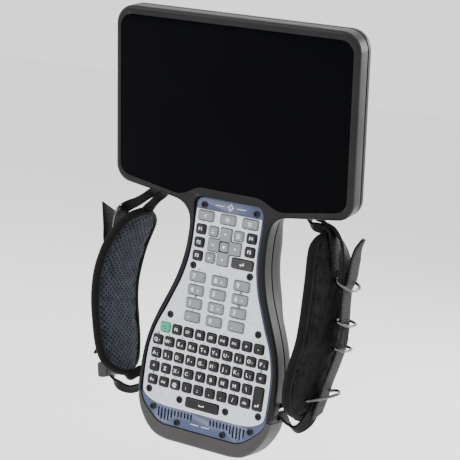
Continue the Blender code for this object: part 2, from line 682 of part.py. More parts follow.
def build_head_rear():
    for name, (cx, cv), radius, finish in (("camera_lens", CAMERA_PLACE, 5.2, "lens_glass"),
                                           ("camera_flash", FLASH_PLACE, 2.6, "ceramic")):
        start, end = bend(cx, cv, 15.0), bend(cx, cv, 20.5)
        add(name, turned([(0, radius), (5.0, radius), (5.5, radius - 0.5)], start, end - start, 20), finish)
    start = bend(-87.9, STYLUS_HEIGHT, STYLUS_DEPTH)
    profile = [(0, 2.2), (0.5, 2.5), (96.0, 2.5), (104.0, 1.0), (105.5, 0.5)]
    add("stylus", turned(profile, start, (1, 0, 0), 12), "black_key", pivot=start)


def build_port():
    """Rubber cover on a living hinge at its inner end, with the connector behind it."""
    lid = box(PORT[0], PORT[1], 9.0, 17.0, -29.3, -27.8)
    cover = add("port_cover", lid, "rubber", pivot=world(PORT[1] - 0.6, 13.0, -28.6))
    tab = add("port_tab_shape", box(PORT[0] + 1.6, PORT[0] + 5.6, 9.4, 12.6, -31.2, -29.0))
    boolean(cover, tab, 'UNION')
    connector = box(PORT_MIDDLE - 4.3, PORT_MIDDLE + 4.3, 10.8, 15.2, -27.2, -20.4, radius=1.5)
    add("data_port", connector, "steel")


# ---------------------------------------------------------------- straps

STRAPS = {
    # x, z and half width of the pad's middle line from top to bottom, then its twist:
    # how much further out the pad's rear edge lies than its front edge
    "left": ([(67.0, 121.0, 8.0), (70.5, 116.5, 15.0), (76.0, 106.0, 19.5), (81.0, 94.0, 21.5),
              (84.0, 80.0, 22.5), (84.8, 68.0, 22.5), (83.6, 55.0, 22.5), (80.6, 42.0, 22.5),
              (77.2, 29.0, 22.0), (74.2, 19.0, 20.0), (70.5, 11.0, 15.5), (66.5, 5.5, 9.0)], -7.0),
    "right": ([(66.0, 128.5, 8.0), (68.5, 123.5, 14.5), (71.4, 113.0, 19.5), (73.4, 99.0, 21.5),
               (74.4, 85.0, 22.5), (74.6, 71.0, 22.5), (74.0, 58.0, 22.5), (71.8, 45.0, 22.5),
               (69.6, 33.0, 22.0), (68.6, 22.0, 20.0), (67.0, 12.5, 15.0), (64.5, 6.5, 9.0)], 10.0),
}
def strap_axis(sign):
    """The line through a strap's two pins, which the strap swings about."""
    upper = bend(sign * UPPER_PIN[0], UPPER_PIN[1], 11.1)
    lower = flat(sign * LOWER_PIN[0], LOWER_PIN[1], 15.2)
    return lower, upper


def build_pad(name, sign, line, twist, pivot):
    """A curved band, wide from front to back, with narrowed ends."""
    bm = bmesh.new()
    rings = []
    last = len(line) - 1
    for i, (x, z, half) in enumerate(line):
        before, after = line[max(i - 1, 0)], line[min(i + 1, last)]
        along = Vector((after[0] - before[0], 0, after[1] - before[1])).normalized()
        across = Vector((twist / 45.0, 1.0, 0)).normalized()
        normal = across.cross(along).normalized()
        thick = PAD_THICKNESS / 2 * (0.6 if i in (0, last) else 1.0)
        section = [(-1, -0.45), (-0.86, -1), (0.86, -1), (1, -0.45)]
        section += [(-a, -b) for a, b in section]
        middle = Vector((x, PAD_MIDDLE_Y, z))
        ring = []
        for a, b in section:
            p = middle + across * (a * half) + normal * (b * thick)
            ring.append(bm.verts.new(world(sign * p.x, p.y, p.z)))
        rings.append(ring)
    for first, second in zip(rings, rings[1:]):
        ring_faces(bm, first, second)
    bm.faces.new(rings[0])
    bm.faces.new(rings[-1])
    add(name, bm, "strap_fabric", pivot=pivot)


def build_webbing(name, sign, line, pivot):
    """One flat band: over the upper pin, down outside the pad, and round the lower pin."""
    ux, uz = UPPER_PIN[0], bend(0, UPPER_PIN[1], 11.1).z / MM + MOUNT_Z
    lx, lz = LOWER_PIN
    route = [(ux + 4.6, uz - 10.5)]
    route += arc((ux, uz), LOOP_RADIUS, 0, 180, 5)
    route += [(ux - 1.0, uz - 8.5), (line[0][0] + 1.5, line[0][1] + 5.0)]
    for before, (x, z, _), after in zip(line, line[1:], line[2:]):
        run, drop = after[0] - before[0], before[1] - after[1]
        length = math.hypot(run, drop)
        route.append((x + WEBBING_STAND_OFF * drop / length, z + WEBBING_STAND_OFF * run / length))
    bottom = line[-1]
    route += [(bottom[0] + 4.0, bottom[1] - 4.5), (lx + 7.0, lz - 3.6)]
    route += arc((lx, lz), LOOP_RADIUS, 270, 90, 5)
    route += [(lx + 5.0, lz + 3.2)]
    bm = bmesh.new()
    rings = []
    top_y, low_y, lean = 6.9, 15.2, BEND_ANGLE
    last = len(route) - 1
    for i, (x, z) in enumerate(route):
        before, after = route[max(i - 1, 0)], route[min(i + 1, last)]
        tx, tz = after[0] - before[0], after[1] - before[1]
        length = math.hypot(tx, tz)
        nx, nz = -tz / length, tx / length
        level = min(max((z - lz) / (uz - lz), 0.0), 1.0)
        middle_y = low_y + (top_y - low_y) * level
        half = STRAP_WIDTH / 2 - 1.5
        ring = []
        for a, b in ((-1, -0.5), (1, -0.5), (1, 0.5), (-1, 0.5)):
            across_y, across_z = a * half * math.cos(lean * level), a * half * math.sin(lean * level)
            ring.append(bm.verts.new(world(sign * (x + nx * b), middle_y + across_y,
                                           z + nz * b + across_z)))
        rings.append(ring)
    for first, second in zip(rings, rings[1:]):
        ring_faces(bm, first, second)
    bm.faces.new(rings[0])
    bm.faces.new(rings[-1])
    add(name, bm, "webbing", pivot=pivot)


def build_straps():
    for side, sign in (("left", -1), ("right", 1)):
        line, twist = STRAPS[side]
        lower, upper = strap_axis(sign)
        build_pad("strap_pad_" + side, sign, line, twist, lower)
        build_webbing("strap_webbing_" + side, sign, line, lower)
    for name, pin in strap_pins(PIN_RADIUS, 0.0, 10).items():
        add(name, pin, "steel")


clear_scene()
casting = housing_outline()
plate_pocket = build_housings(casting)
build_bottom_cap(casting, plate_pocket)
build_gasket(casting)
build_display()
build_keypad()
build_keys()
build_screws()
build_speakers()
build_handle_rear()
build_head_rear()
build_port()
build_straps()
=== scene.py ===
"""Hand-held data collector: a tilted display head on a waisted keypad handle, with two hand straps.

Pieces are drawn in millimetres in the keypad's own frame (X right, Y back from the silver overlay,
Z up from the middle of the space bar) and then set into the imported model's frame, in metres.
"""
import bisect
import math
import random
from collections import namedtuple

import bmesh
import bpy
from mathutils import Matrix, Vector
from mathutils.bvhtree import BVHTree
from mathutils.noise import noise


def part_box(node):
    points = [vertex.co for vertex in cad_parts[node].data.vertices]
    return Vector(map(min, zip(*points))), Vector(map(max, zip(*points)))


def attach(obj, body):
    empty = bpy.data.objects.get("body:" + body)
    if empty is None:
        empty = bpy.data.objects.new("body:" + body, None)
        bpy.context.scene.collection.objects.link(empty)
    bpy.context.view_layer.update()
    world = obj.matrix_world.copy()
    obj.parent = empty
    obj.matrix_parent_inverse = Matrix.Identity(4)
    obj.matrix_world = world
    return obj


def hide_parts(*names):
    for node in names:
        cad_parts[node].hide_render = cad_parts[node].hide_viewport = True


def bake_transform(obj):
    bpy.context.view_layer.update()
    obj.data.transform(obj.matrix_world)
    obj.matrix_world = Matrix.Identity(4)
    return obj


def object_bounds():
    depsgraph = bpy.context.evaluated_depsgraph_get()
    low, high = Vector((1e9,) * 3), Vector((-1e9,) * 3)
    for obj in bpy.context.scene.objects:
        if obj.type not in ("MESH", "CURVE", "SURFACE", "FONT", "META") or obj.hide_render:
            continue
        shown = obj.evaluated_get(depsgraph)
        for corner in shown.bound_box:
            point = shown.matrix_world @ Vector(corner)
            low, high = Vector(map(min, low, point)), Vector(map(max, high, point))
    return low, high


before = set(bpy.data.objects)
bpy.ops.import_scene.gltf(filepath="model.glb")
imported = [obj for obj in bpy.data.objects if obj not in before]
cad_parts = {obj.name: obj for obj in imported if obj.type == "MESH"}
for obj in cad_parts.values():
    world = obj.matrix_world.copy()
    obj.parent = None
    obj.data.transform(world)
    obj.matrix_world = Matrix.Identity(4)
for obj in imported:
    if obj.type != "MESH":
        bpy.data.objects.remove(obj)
cad_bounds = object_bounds()

# ------------------------------------------------------------------ stage
# A plain pale floor that runs out to a white room, three soft lamps, and a long lens in front of
# the keypad, a little to its right. The camera is rolled, so the instrument leans to the left. It
# hangs clear of the floor, as it would on its pole bracket.

MM = 0.001
FLOOR_GAP = 0.06
LAMP_AIM = Vector((0.0, -0.03, 0.02))
space_low, space_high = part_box("space_key")
ORIGIN = Vector((0.0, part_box("keypad_overlay")[0].y, (space_low.z + space_high.z) / 2))
SETTLE = Matrix.Translation(ORIGIN) @ Matrix.Scale(MM, 4)


def at(x, y, z):
    """A point of the keypad's frame, in millimetres, as a point of the model's frame."""
    return ORIGIN + Vector((x, y, z)) * MM


def plain_material(name, colour, roughness, metallic=0.0, **sockets):
    """A material with a Principled shader; further sockets are named with _ for each space."""
    made = bpy.data.materials.new(name)
    made.use_nodes = True
    shader = made.node_tree.nodes["Principled BSDF"]
    shader.inputs["Base Color"].default_value = (*colour, 1.0)
    shader.inputs["Roughness"].default_value = roughness
    shader.inputs["Metallic"].default_value = metallic
    for socket, value in sockets.items():
        shader.inputs[socket.replace("_", " ")].default_value = value
    return made


def build_stage():
    scene = bpy.context.scene
    lens = bpy.data.cameras.new("camera")
    lens.lens, lens.sensor_width = 117.8, 36.0
    lens.clip_start, lens.clip_end = 0.01, 100.0
    right = Vector((0.86285, 0.48550, 0.14061))
    up = Vector((-0.17317, 0.02260, 0.98463))
    camera = bpy.data.objects.new("camera", lens)
    turn = Matrix((right, up, right.cross(up))).transposed()
    camera.matrix_world = Matrix.Translation(at(469.99, -860.93, 220.92)) @ turn.to_4x4()
    scene.collection.objects.link(camera)
    scene.camera = camera

    bm = bmesh.new()
    bmesh.ops.create_circle(bm, cap_ends=True, segments=96, radius=30.0)
    bmesh.ops.translate(bm, verts=bm.verts, vec=(0, 0, cad_bounds[0].z - FLOOR_GAP))
    mesh = bpy.data.meshes.new("floor")
    bm.to_mesh(mesh)
    bm.free()
    floor = bpy.data.objects.new("floor", mesh)
    scene.collection.objects.link(floor)
    mesh.materials.append(plain_material("floor_paper", (0.93, 0.93, 0.935), 0.9))

    room = bpy.data.worlds.new("white_room")
    room.use_nodes = True
    background = room.node_tree.nodes["Background"]
    background.inputs["Color"].default_value = (1.0, 1.0, 1.0, 1.0)
    background.inputs["Strength"].default_value = 1.5
    scene.world = room

    lamps = (("key_lamp", (-0.9, -1.3, 1.1), (0.9, 0.9), 14.0),
             ("side_lamp", (0.80, 1.0, 0.55), (0.8, 0.6), 20.0),
             ("top_lamp", (0.1, 0.5, 1.2), (1.2, 0.3), 9.0))
    for name, place, (width, height), power in lamps:
        light = bpy.data.lights.new(name, 'AREA')
        light.shape = 'RECTANGLE'
        light.size, light.size_y, light.energy = width, height, power
        lamp = bpy.data.objects.new(name, light)
        lamp.location = place
        aim = LAMP_AIM - Vector(place)
        lamp.rotation_euler = aim.to_track_quat('-Z', 'Y').to_euler()
        scene.collection.objects.link(lamp)


build_stage()

# ------------------------------------------------------------------ front and rear housings
# Two half shells of the same waisted outline, moulded in dark grey glass-filled nylon with a fine
# spark texture. They are screwed together round a thin gasket, which shows as a black line.

BEND_HEIGHT = 122.2
BEND_ANGLE = math.radians(13.36)
BEND_RADIUS = 40.0
HANDLE_SIDE = [
    (24.0, -29.3), (33.0, -27.7), (40.5, -22.8), (46.5, -15.2), (50.4, -6.5), (52.2, 4.0),
    (52.4, 14.0), (52.0, 25.0), (50.7, 35.5), (48.0, 46.5), (43.8, 58.0), (39.2, 69.0),
    (35.0, 80.0), (32.0, 91.0), (30.3, 101.0), (29.8, 110.0), (29.9, 118.0), (31.2, 124.2),
    (34.2, 129.0), (39.2, 132.2), (46.0, 133.6)]
HEAD_HALF_WIDTH = 89.0
HEAD_TOP = BEND_HEIGHT + 136.0
HEAD_LOW_CORNER = BEND_HEIGHT + 27.7
HEAD_TOP_RADIUS, HEAD_LOW_RADIUS = 13.0, 12.0
FRONT_DEPTH, REAR_START = 11.4, 12.4
HANDLE_DEPTH, NECK_DEPTH, HEAD_DEPTH = 27.0, 33.5, 20.0
CAP_SEAM = -0.4
CLEARANCE = 0.35
UPPER_PIN = (57.5, BEND_HEIGHT + 16.5)
LOWER_PIN = (49.0, 7.0)


def curve_through(points, steps):
    """A smooth curve through the points."""
    curve, last = [], len(points) - 1
    for i in range(last):
        p0, p1 = points[max(i - 1, 0)], points[i]
        p2, p3 = points[i + 1], points[min(i + 2, last)]
        for step in range(steps):
            t = step / steps
            curve.append(tuple(
                0.5 * (2 * b + (c - a) * t + (2 * a - 5 * b + 4 * c - d) * t * t
                       + (3 * b - a - 3 * c + d) * t ** 3)
                for a, b, c, d in zip(p0, p1, p2, p3)))
    curve.append(tuple(points[-1]))
    return curve


def arc(centre, radius, start, end, steps):
    """Points on an arc, with angles in degrees."""
    angles = [math.radians(start + (end - start) * i / steps) for i in range(steps + 1)]
    return [(centre[0] + radius * math.cos(a), centre[1] + radius * math.sin(a)) for a in angles]


def both_sides(side):
    """A right-hand side from bottom to top, closed with its mirror image."""
    return list(side) + [(-x, v) for x, v in reversed(side) if x > 0]


def inset(outline, distance):
    """Every point of a closed counter-clockwise outline moved inwards."""
    moved, count = [], len(outline)
    for i, point in enumerate(outline):
        before, after = Vector(outline[i - 1]), Vector(outline[(i + 1) % count])
        here = Vector(point)
        sides = [(b - a).normalized() for a, b in ((before, here), (here, after))]
        normal = Vector((-sides[0].y - sides[1].y, sides[0].x + sides[1].x))
        moved.append(tuple(here + normal * (2 * distance / max(normal.length_squared, 0.6))))
    return moved


def casting_outline():
    side = curve_through(HANDLE_SIDE, 5)
    side += arc((HEAD_HALF_WIDTH - HEAD_LOW_RADIUS, HEAD_LOW_CORNER), HEAD_LOW_RADIUS, -80, 0, 14)
    high = HEAD_TOP - HEAD_TOP_RADIUS
    side += arc((HEAD_HALF_WIDTH - HEAD_TOP_RADIUS, high), HEAD_TOP_RADIUS, 0, 90, 16)
    return both_sides(side)


def close_ends(bm):
    """Fill the openings of a solid and turn its faces outwards."""
    bmesh.ops.holes_fill(bm, edges=[edge for edge in bm.edges if edge.is_boundary], sides=0)
    bmesh.ops.recalc_face_normals(bm, faces=bm.faces)
    return bm


def shifted(bm, x, y, z):
    bmesh.ops.translate(bm, verts=bm.verts, vec=(x, y, z))
    return bm


def rounded(bm, edges, radius, steps, profile=0.5):
    """Round some edges of a solid over."""
    bmesh.ops.bevel(bm, geom=edges, offset=radius, segments=steps, profile=profile,
                    affect='EDGES', material=-1)
    return bm


def depth_edges(bm, longer_than):
    return [e for e in bm.edges if abs(e.verts[0].co.y - e.verts[1].co.y) > longer_than]


def drawn_through(levels):
    """A solid whose flat face is extruded from one outline to the next; a level is (outline, depth)."""
    bm = bmesh.new()
    outline, depth = levels[0]
    face = bm.faces.new([bm.verts.new((x, depth, v)) for x, v in outline])
    for outline, depth in levels[1:]:
        face = bmesh.ops.extrude_discrete_faces(bm, faces=[face])["faces"][0]
        for vert, (x, v) in zip(face.verts, outline):
            vert.co = (x, depth, v)
    return close_ends(bm)


def slice_levels(bm, low, high, step):
    """Cut level lines across a flat solid, so that it can be bent."""
    height = low
    while height <= high:
        bmesh.ops.bisect_plane(bm, geom=bm.verts[:] + bm.edges[:] + bm.faces[:], dist=1e-5,
                               plane_co=(0, 0, height), plane_no=(0, 0, 1))
        height += step


def bend_point(x, depth, v):
    """A point of the flat casting, in the bent casting and in the model's frame."""
    start = BEND_HEIGHT - BEND_RADIUS * math.tan(BEND_ANGLE / 2)
    angle = min(max((v - start) / BEND_RADIUS, 0.0), BEND_ANGLE)
    beyond = v - start - BEND_RADIUS * angle
    y = (BEND_RADIUS + depth) * math.cos(angle) - BEND_RADIUS - beyond * math.sin(angle)
    z = start + (BEND_RADIUS + depth) * math.sin(angle) + beyond * math.cos(angle)
    return at(x, y, z)


def bend(bm):
    """Bend a flat casting forward where the head meets the handle, and settle it in the model."""
    for vert in bm.verts:
        vert.co = bend_point(*vert.co)
    return bm


def settle(bm):
    bmesh.ops.transform(bm, matrix=SETTLE, verts=bm.verts)
    return bm


def back_depth(v):
    """Depth of the rear face: a shallow grip, a deep neck for the pole mount and a thin head."""
    rise = min(max((v - 62.0) / 20.0, 0.0), 1.0)
    fall = min(max((v - 113.0) / 21.0, 0.0), 1.0)
    rise, fall = (t * t * (3 - 2 * t) for t in (rise, fall))
    return HANDLE_DEPTH + (NECK_DEPTH - HANDLE_DEPTH) * rise - (NECK_DEPTH - HEAD_DEPTH) * fall


def front_levels(outline):
    """The front edge is rounded over 3 mm."""
    turns = [math.radians(90 * i / 6) for i in range(7)]
    return [(inset(outline, 3.0 - 3.0 * math.sin(t)), 2.8 - 2.8 * math.cos(t)) for t in turns]


def rear_levels(outline):
    """The rear edge is fuller; its depths are shares of the way to the rear face."""
    levels = [(outline, REAR_START)]
    for i in range(11):
        turn = math.radians(90 * i / 10)
        share = 0.3 + 0.7 * math.sin(turn) ** 0.9
        levels.append((inset(outline, 10.2 * (1 - math.cos(turn))), REAR_START + 100.0 * share))
    return levels


def shape_rear(bm):
    """Turn the rear's shares of depth into real depths."""
    for vert in bm.verts:
        if vert.co.y > REAR_START:
            share = (vert.co.y - REAR_START) / 100.0
            vert.co.y = REAR_START + share * (back_depth(vert.co.z) - REAR_START)
    return bm


def block(x0, x1, y0, y1, z0, z1, radius=0.0, steps=4):
    """A block in the keypad's frame; with a radius, its edges along the depth are rounded."""
    bm = bmesh.new()
    bmesh.ops.create_cube(bm, size=1.0)
    size = Vector((x1 - x0, y1 - y0, z1 - z0))
    bmesh.ops.scale(bm, verts=bm.verts, vec=size)
    shifted(bm, (x0 + x1) / 2, (y0 + y1) / 2, (z0 + z1) / 2)
    return rounded(bm, depth_edges(bm, size.y / 2), radius, steps) if radius else bm


def rod(x, z, y0, y1, radius, sides=24):
    """A round bar along the depth, in the keypad's frame."""
    bm = bmesh.new()
    turn = Matrix.Translation((x, (y0 + y1) / 2, z)) @ Matrix.Rotation(math.radians(90), 4, 'X')
    bmesh.ops.create_cone(bm, cap_ends=True, segments=sides, radius1=radius, radius2=radius,
                          depth=y1 - y0, matrix=turn)
    return bm


def gathered(shapes):
    """Several closed shapes in one bmesh."""
    whole = bmesh.new()
    for bm in shapes:
        mesh = bpy.data.meshes.new("gathered")
        bm.to_mesh(mesh)
        bm.free()
        whole.from_mesh(mesh)
        bpy.data.meshes.remove(mesh)
    return whole


def as_object(name, bm):
    """Put a bmesh into the scene as an object, and free it."""
    mesh = bpy.data.meshes.new(name)
    bm.to_mesh(mesh)
    bm.free()
    made = bpy.data.objects.new(name, mesh)
    bpy.context.collection.objects.link(made)
    return made


def carve(bm, tool):
    """Cut one solid out of another, with both in the same frame."""
    objects = [as_object("carving", shape) for shape in (bm, tool)]
    step = objects[0].modifiers.new("carving", 'BOOLEAN')
    step.object, step.operation, step.solver = objects[1], 'DIFFERENCE', 'EXACT'
    finished = objects[0].evaluated_get(bpy.context.evaluated_depsgraph_get())
    result = bmesh.new()
    result.from_mesh(finished.to_mesh())
    finished.to_mesh_clear()
    for used in objects:
        mesh = used.data
        bpy.data.objects.remove(used)
        bpy.data.meshes.remove(mesh)
    return result


def level_cut(bm, height, keep_above):
    """Cut a solid level at a height of the keypad's frame and close the cut."""
    cut = bmesh.ops.bisect_plane(
        bm, geom=bm.verts[:] + bm.edges[:] + bm.faces[:], dist=1e-7,
        plane_co=at(0, 0, height), plane_no=(0, 0, 1),
        clear_inner=keep_above, clear_outer=not keep_above)
    edges = [item for item in cut["geom_cut"] if isinstance(item, bmesh.types.BMEdge)]
    bmesh.ops.contextual_create(bm, geom=edges)
    return bm


def make_piece(name, bm, finishes, body, replaced=(), crease=35.0, bevel=0.0):
    """Turn a bmesh into a finished piece that rides on a body."""
    piece = as_object(name, bm)
    mesh = piece.data
    for finish in finishes:
        mesh.materials.append(finish)
    for polygon in mesh.polygons:
        polygon.use_smooth = True
    mesh.set_sharp_from_angle(angle=math.radians(crease))
    if bevel:
        edge = piece.modifiers.new("edges", 'BEVEL')
        edge.width, edge.segments, edge.limit_method = bevel * MM, 2, 'ANGLE'
        edge.angle_limit = math.radians(40)
        edge.harden_normals = False
        even = piece.modifiers.new("even_normals", 'WEIGHTED_NORMAL')
        even.keep_sharp = True
    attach(piece, body)
    if replaced:
        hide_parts(*replaced)
    return piece


def glass_outline(grow=0.0):
    """The display glass: a shallow V along the bottom, raised in the middle over the keypad."""
    low = BEND_HEIGHT
    side = curve_through([
        (0.0, low + 21.8), (14.0, low + 21.9), (21.5, low + 21.8), (25.7, low + 20.6),
        (29.5, low + 18.6), (33.4, low + 16.6), (37.2, low + 15.5), (41.2, low + 15.3),
        (47.0, low + 16.3), (62.0, low + 18.8), (77.0, low + 21.4)], 4)
    side += arc((76.5, low + 29.6), 8.0, -75, 0, 12)
    side += arc((76.0, low + 121.7), 8.5, 0, 90, 14)
    return inset(both_sides(side), -grow) if grow else both_sides(side)


def plate_outline(grow=0.0):
    """The blue faceplate."""
    side = [(28.0, -19.0)]
    side += curve_through([
        (33.2, -17.2), (39.8, -12.2), (45.4, -6.6), (47.9, -1.0), (48.4, 8.0), (48.4, 24.0),
        (47.3, 34.6), (44.0, 47.2), (38.6, 59.3), (33.7, 71.5), (30.4, 80.0), (27.7, 90.0),
        (26.1, 100.0), (25.6, 110.0), (25.9, 124.0)], 4)
    side += arc((20.5, 131.9), 5.5, 0, 90, 10)
    return inset(both_sides(side), -grow) if grow else both_sides(side)


def slab(outline, front, back):
    return drawn_through([(outline, front), (outline, back)])


def pocket_tool():
    return settle(slab(plate_outline(CLEARANCE), -16.0, 6.4))


def strap_recess_tool():
    """The hollows that the strap pins cross: under the head, and in the handle's sides."""
    shapes = []
    for sign in (-1, 1):
        x, v = UPPER_PIN
        near, far = sorted((sign * (x - 6.2), sign * (x + 6.2)))
        shapes.append(bend(block(near, far, 3.6, 18.6, v - 12.0, v + 5.0)))
        x, v = LOWER_PIN
        near, far = sorted((sign * (x - 3.4), sign * (x + 12.0)))
        shapes.append(settle(block(near, far, 8.2, 22.2, v - 5.8, v + 5.8)))
    return gathered(shapes)


def node_group(name, inputs, outputs):
    """An empty shader group with float sockets, or colour sockets where a default has 4 values."""
    group = bpy.data.node_groups.new(name, 'ShaderNodeTree')
    for socket, value in inputs:
        kind = 'NodeSocketColor' if isinstance(value, tuple) else 'NodeSocketFloat'
        group.interface.new_socket(socket, in_out='INPUT', socket_type=kind).default_value = value
    for socket, kind in outputs:
        group.interface.new_socket(socket, in_out='OUTPUT', socket_type='NodeSocket' + kind)
    return group, group.nodes.new('NodeGroupInput'), group.nodes.new('NodeGroupOutput')


def noise_node(tree, scale, detail, roughness=0.6):
    made = tree.nodes.new('ShaderNodeTexNoise')
    made.inputs["Scale"].default_value = scale
    made.inputs["Detail"].default_value = detail
    made.inputs["Roughness"].default_value = roughness
    return made


def feed(tree, socket, value):
    """Link a socket to another one, or set its value."""
    if isinstance(value, bpy.types.NodeSocket):
        tree.links.new(value, socket)
    else:
        socket.default_value = value


def math_node(tree, operation, *values):
    made = tree.nodes.new('ShaderNodeMath')
    made.operation = operation
    for socket, value in zip(made.inputs, values):
        feed(tree, socket, value)
    return made.outputs[0]


def range_node(tree, value, low, high, to_low, to_high):
    made = tree.nodes.new('ShaderNodeMapRange')
    for socket, item in zip(("Value", "From Min", "From Max", "To Min", "To Max"),
                            (value, low, high, to_low, to_high)):
        feed(tree, made.inputs[socket], item)
    return made.outputs[0]


def mix_node(tree, factor, first, second, blend='MIX'):
    """A colour mix; each value is a socket or a colour."""
    made = tree.nodes.new('ShaderNodeMix')
    made.data_type, made.blend_type = 'RGBA', blend
    for number, value in ((0, factor), (6, first), (7, second)):
        feed(tree, made.inputs[number], value)
    return made.outputs[2]


def add_relief(tree, height, depth, strength):
    """Bump a material's normal by a height; its depth is in millimetres."""
    relief = tree.nodes.new('ShaderNodeBump')
    relief.inputs["Distance"].default_value = depth * MM
    relief.inputs["Strength"].default_value = strength
    tree.links.new(height, relief.inputs["Height"])
    tree.links.new(relief.outputs["Normal"], tree.nodes["Principled BSDF"].inputs["Normal"])


def build_grain_group():
    """Moulded or painted grain: fine pits, soft patches and lighter, rubbed edges."""
    group, given, out = node_group(
        "surface_grain",
        [("Scale", 2500.0), ("Colour", (0.1, 0.1, 0.1, 1.0)), ("Second Colour", (0.1, 0.1, 0.1, 1.0)),
         ("Edge Colour", (0.2, 0.2, 0.2, 1.0)), ("Edge Wear", 0.3), ("Roughness", 0.5),
         ("Roughness Spread", 0.1)],
        [("Colour", 'Color'), ("Roughness", 'Float'), ("Height", 'Float')])
    place = group.nodes.new('ShaderNodeTexCoord')
    pits = noise_node(group, 1.0, 3.0)
    patches = noise_node(group, 55.0, 3.0, 0.5)
    group.links.new(place.outputs["Object"], pits.inputs["Vector"])
    group.links.new(place.outputs["Object"], patches.inputs["Vector"])
    group.links.new(given.outputs["Scale"], pits.inputs["Scale"])
    blotch = range_node(group, patches.outputs["Fac"], 0.35, 0.65, 0.0, 1.0)
    speck = range_node(group, pits.outputs["Fac"], 0.3, 0.7, 0.0, 1.0)
    share = math_node(group, 'ADD', math_node(group, 'MULTIPLY', blotch, 0.5),
                      math_node(group, 'MULTIPLY', speck, 0.5))
    base = mix_node(group, share, given.outputs["Colour"], given.outputs["Second Colour"])
    edge = group.nodes.new('ShaderNodeNewGeometry')
    rubbed = range_node(group, edge.outputs["Pointiness"], 0.53, 0.62, 0.0, 1.0)
    rubbed = math_node(group, 'MULTIPLY', rubbed, given.outputs["Edge Wear"])
    rubbed = math_node(group, 'MULTIPLY', rubbed, range_node(group, blotch, 0.0, 1.0, 0.5, 1.0))
    colour = mix_node(group, rubbed, base, given.outputs["Edge Colour"])
    spread = math_node(group, 'MULTIPLY', math_node(group, 'SUBTRACT', share, 0.5),
                       given.outputs["Roughness Spread"])
    rough = math_node(group, 'ADD', given.outputs["Roughness"], spread)
    group.links.new(colour, out.inputs["Colour"])
    group.links.new(rough, out.inputs["Roughness"])
    group.links.new(speck, out.inputs["Height"])
    return group


GRAIN = build_grain_group()


def grained(name, colour, second, edge, roughness, scale=2500.0, wear=0.3, spread=0.12, bump=0.02,
            metallic=0.0, **sockets):
    """A grained material; bump is the depth of the grain in millimetres."""
    made = plain_material(name, colour, roughness, metallic, **sockets)
    tree = made.node_tree
    shader = tree.nodes["Principled BSDF"]
    grain = tree.nodes.new('ShaderNodeGroup')
    grain.node_tree = GRAIN
    for socket, value in (("Scale", scale), ("Colour", (*colour, 1.0)), ("Second Colour", (*second, 1.0)),
                          ("Edge Colour", (*edge, 1.0)), ("Edge Wear", wear), ("Roughness", roughness),
                          ("Roughness Spread", spread)):
        grain.inputs[socket].default_value = value
    tree.links.new(grain.outputs["Colour"], shader.inputs["Base Color"])
    tree.links.new(grain.outputs["Roughness"], shader.inputs["Roughness"])
    add_relief(tree, grain.outputs["Height"], bump, 0.6)
    return made


housing_nylon = grained("housing_nylon", (0.0085, 0.0085, 0.0092), (0.0135, 0.0135, 0.0145),
                        (0.075, 0.077, 0.082), 0.40, wear=0.35, Specular_IOR_Level=0.15)
CASTING = casting_outline()
STYLUS_HEIGHT, STYLUS_DEPTH = BEND_HEIGHT + 124.5, 16.2
CAMERA_PLACE, FLASH_PLACE = (58.0, BEND_HEIGHT + 100.0), (44.0, BEND_HEIGHT + 100.0)


def bent_solid(levels, rear):
    bm = drawn_through(levels)
    slice_levels(bm, 117.0, 127.6, 0.8)
    if rear:
        slice_levels(bm, 62.0, 82.0, 1.25)
        slice_levels(bm, 112.5, 135.0, 1.25)
        shape_rear(bm)
    return bend(bm)


def build_front_housing():
    levels = front_levels(CASTING)
    levels += [(CASTING, FRONT_DEPTH - 0.5), (inset(CASTING, 0.35), FRONT_DEPTH)]
    bm = bent_solid(levels, rear=False)
    bm = level_cut(bm, CAP_SEAM + 0.2, keep_above=True)
    bm = carve(bm, pocket_tool())
    glass_pocket = slab(glass_outline(CLEARANCE), -2.0, 1.9)
    slice_levels(glass_pocket, 117.0, 127.6, 0.8)
    bm = carve(bm, bend(glass_pocket))
    bm = carve(bm, strap_recess_tool())
    seams = [bend(block(x - 0.15, x + 0.15, -1.0, 0.6, BEND_HEIGHT + 8.0, BEND_HEIGHT + 20.5))
             for x in (-64, 64)]
    bm = carve(bm, gathered(seams))
    make_piece("front_housing_shell", bm, [housing_nylon], "case",
               ["front_housing"], bevel=0.22)


def build_rear_housing():
    bm = bent_solid([(inset(CASTING, 0.35), REAR_START), (CASTING, REAR_START + 0.5)]
                    + rear_levels(CASTING)[1:], rear=True)
    bm = level_cut(bm, CAP_SEAM + 0.2, keep_above=True)
    bm = carve(bm, strap_recess_tool())
    bm = carve(bm, settle(block(-27.4, 27.4, 12.6, 40.0, 3.3, 62.5, 0.9)))
    bore = bmesh.new()
    bmesh.ops.create_cone(bore, cap_ends=True, segments=24, radius1=2.9, radius2=2.9, depth=112.0,
                          matrix=Matrix.Rotation(math.radians(90), 4, 'Y'))
    holes = [bend(shifted(bore, -34.0, STYLUS_DEPTH, STYLUS_HEIGHT))]
    for (x, v), radius in ((CAMERA_PLACE, 5.6), (FLASH_PLACE, 3.0)):
        holes.append(bend(rod(x, v, 14.0, 24.0, radius, 40)))
    bm = carve(bm, gathered(holes))
    make_piece("rear_housing_shell", bm, [housing_nylon], "case",
               ["rear_housing"], bevel=0.25)


build_front_housing()
build_rear_housing()

# ------------------------------------------------------------------ bottom cap
# The lower end is a separate cap in a lighter, warmer soft-touch plastic. It closes the casting
# under the keypad, and has the recess of the port cover in its underside.

cap_plastic = grained("cap_plastic", (0.038, 0.036, 0.035), (0.050, 0.048, 0.046),
                      (0.13, 0.125, 0.12), 0.52, wear=0.3, Specular_IOR_Level=0.3)
PORT_ENDS = (-23.6, -5.2)
PORT_MIDDLE = -14.8


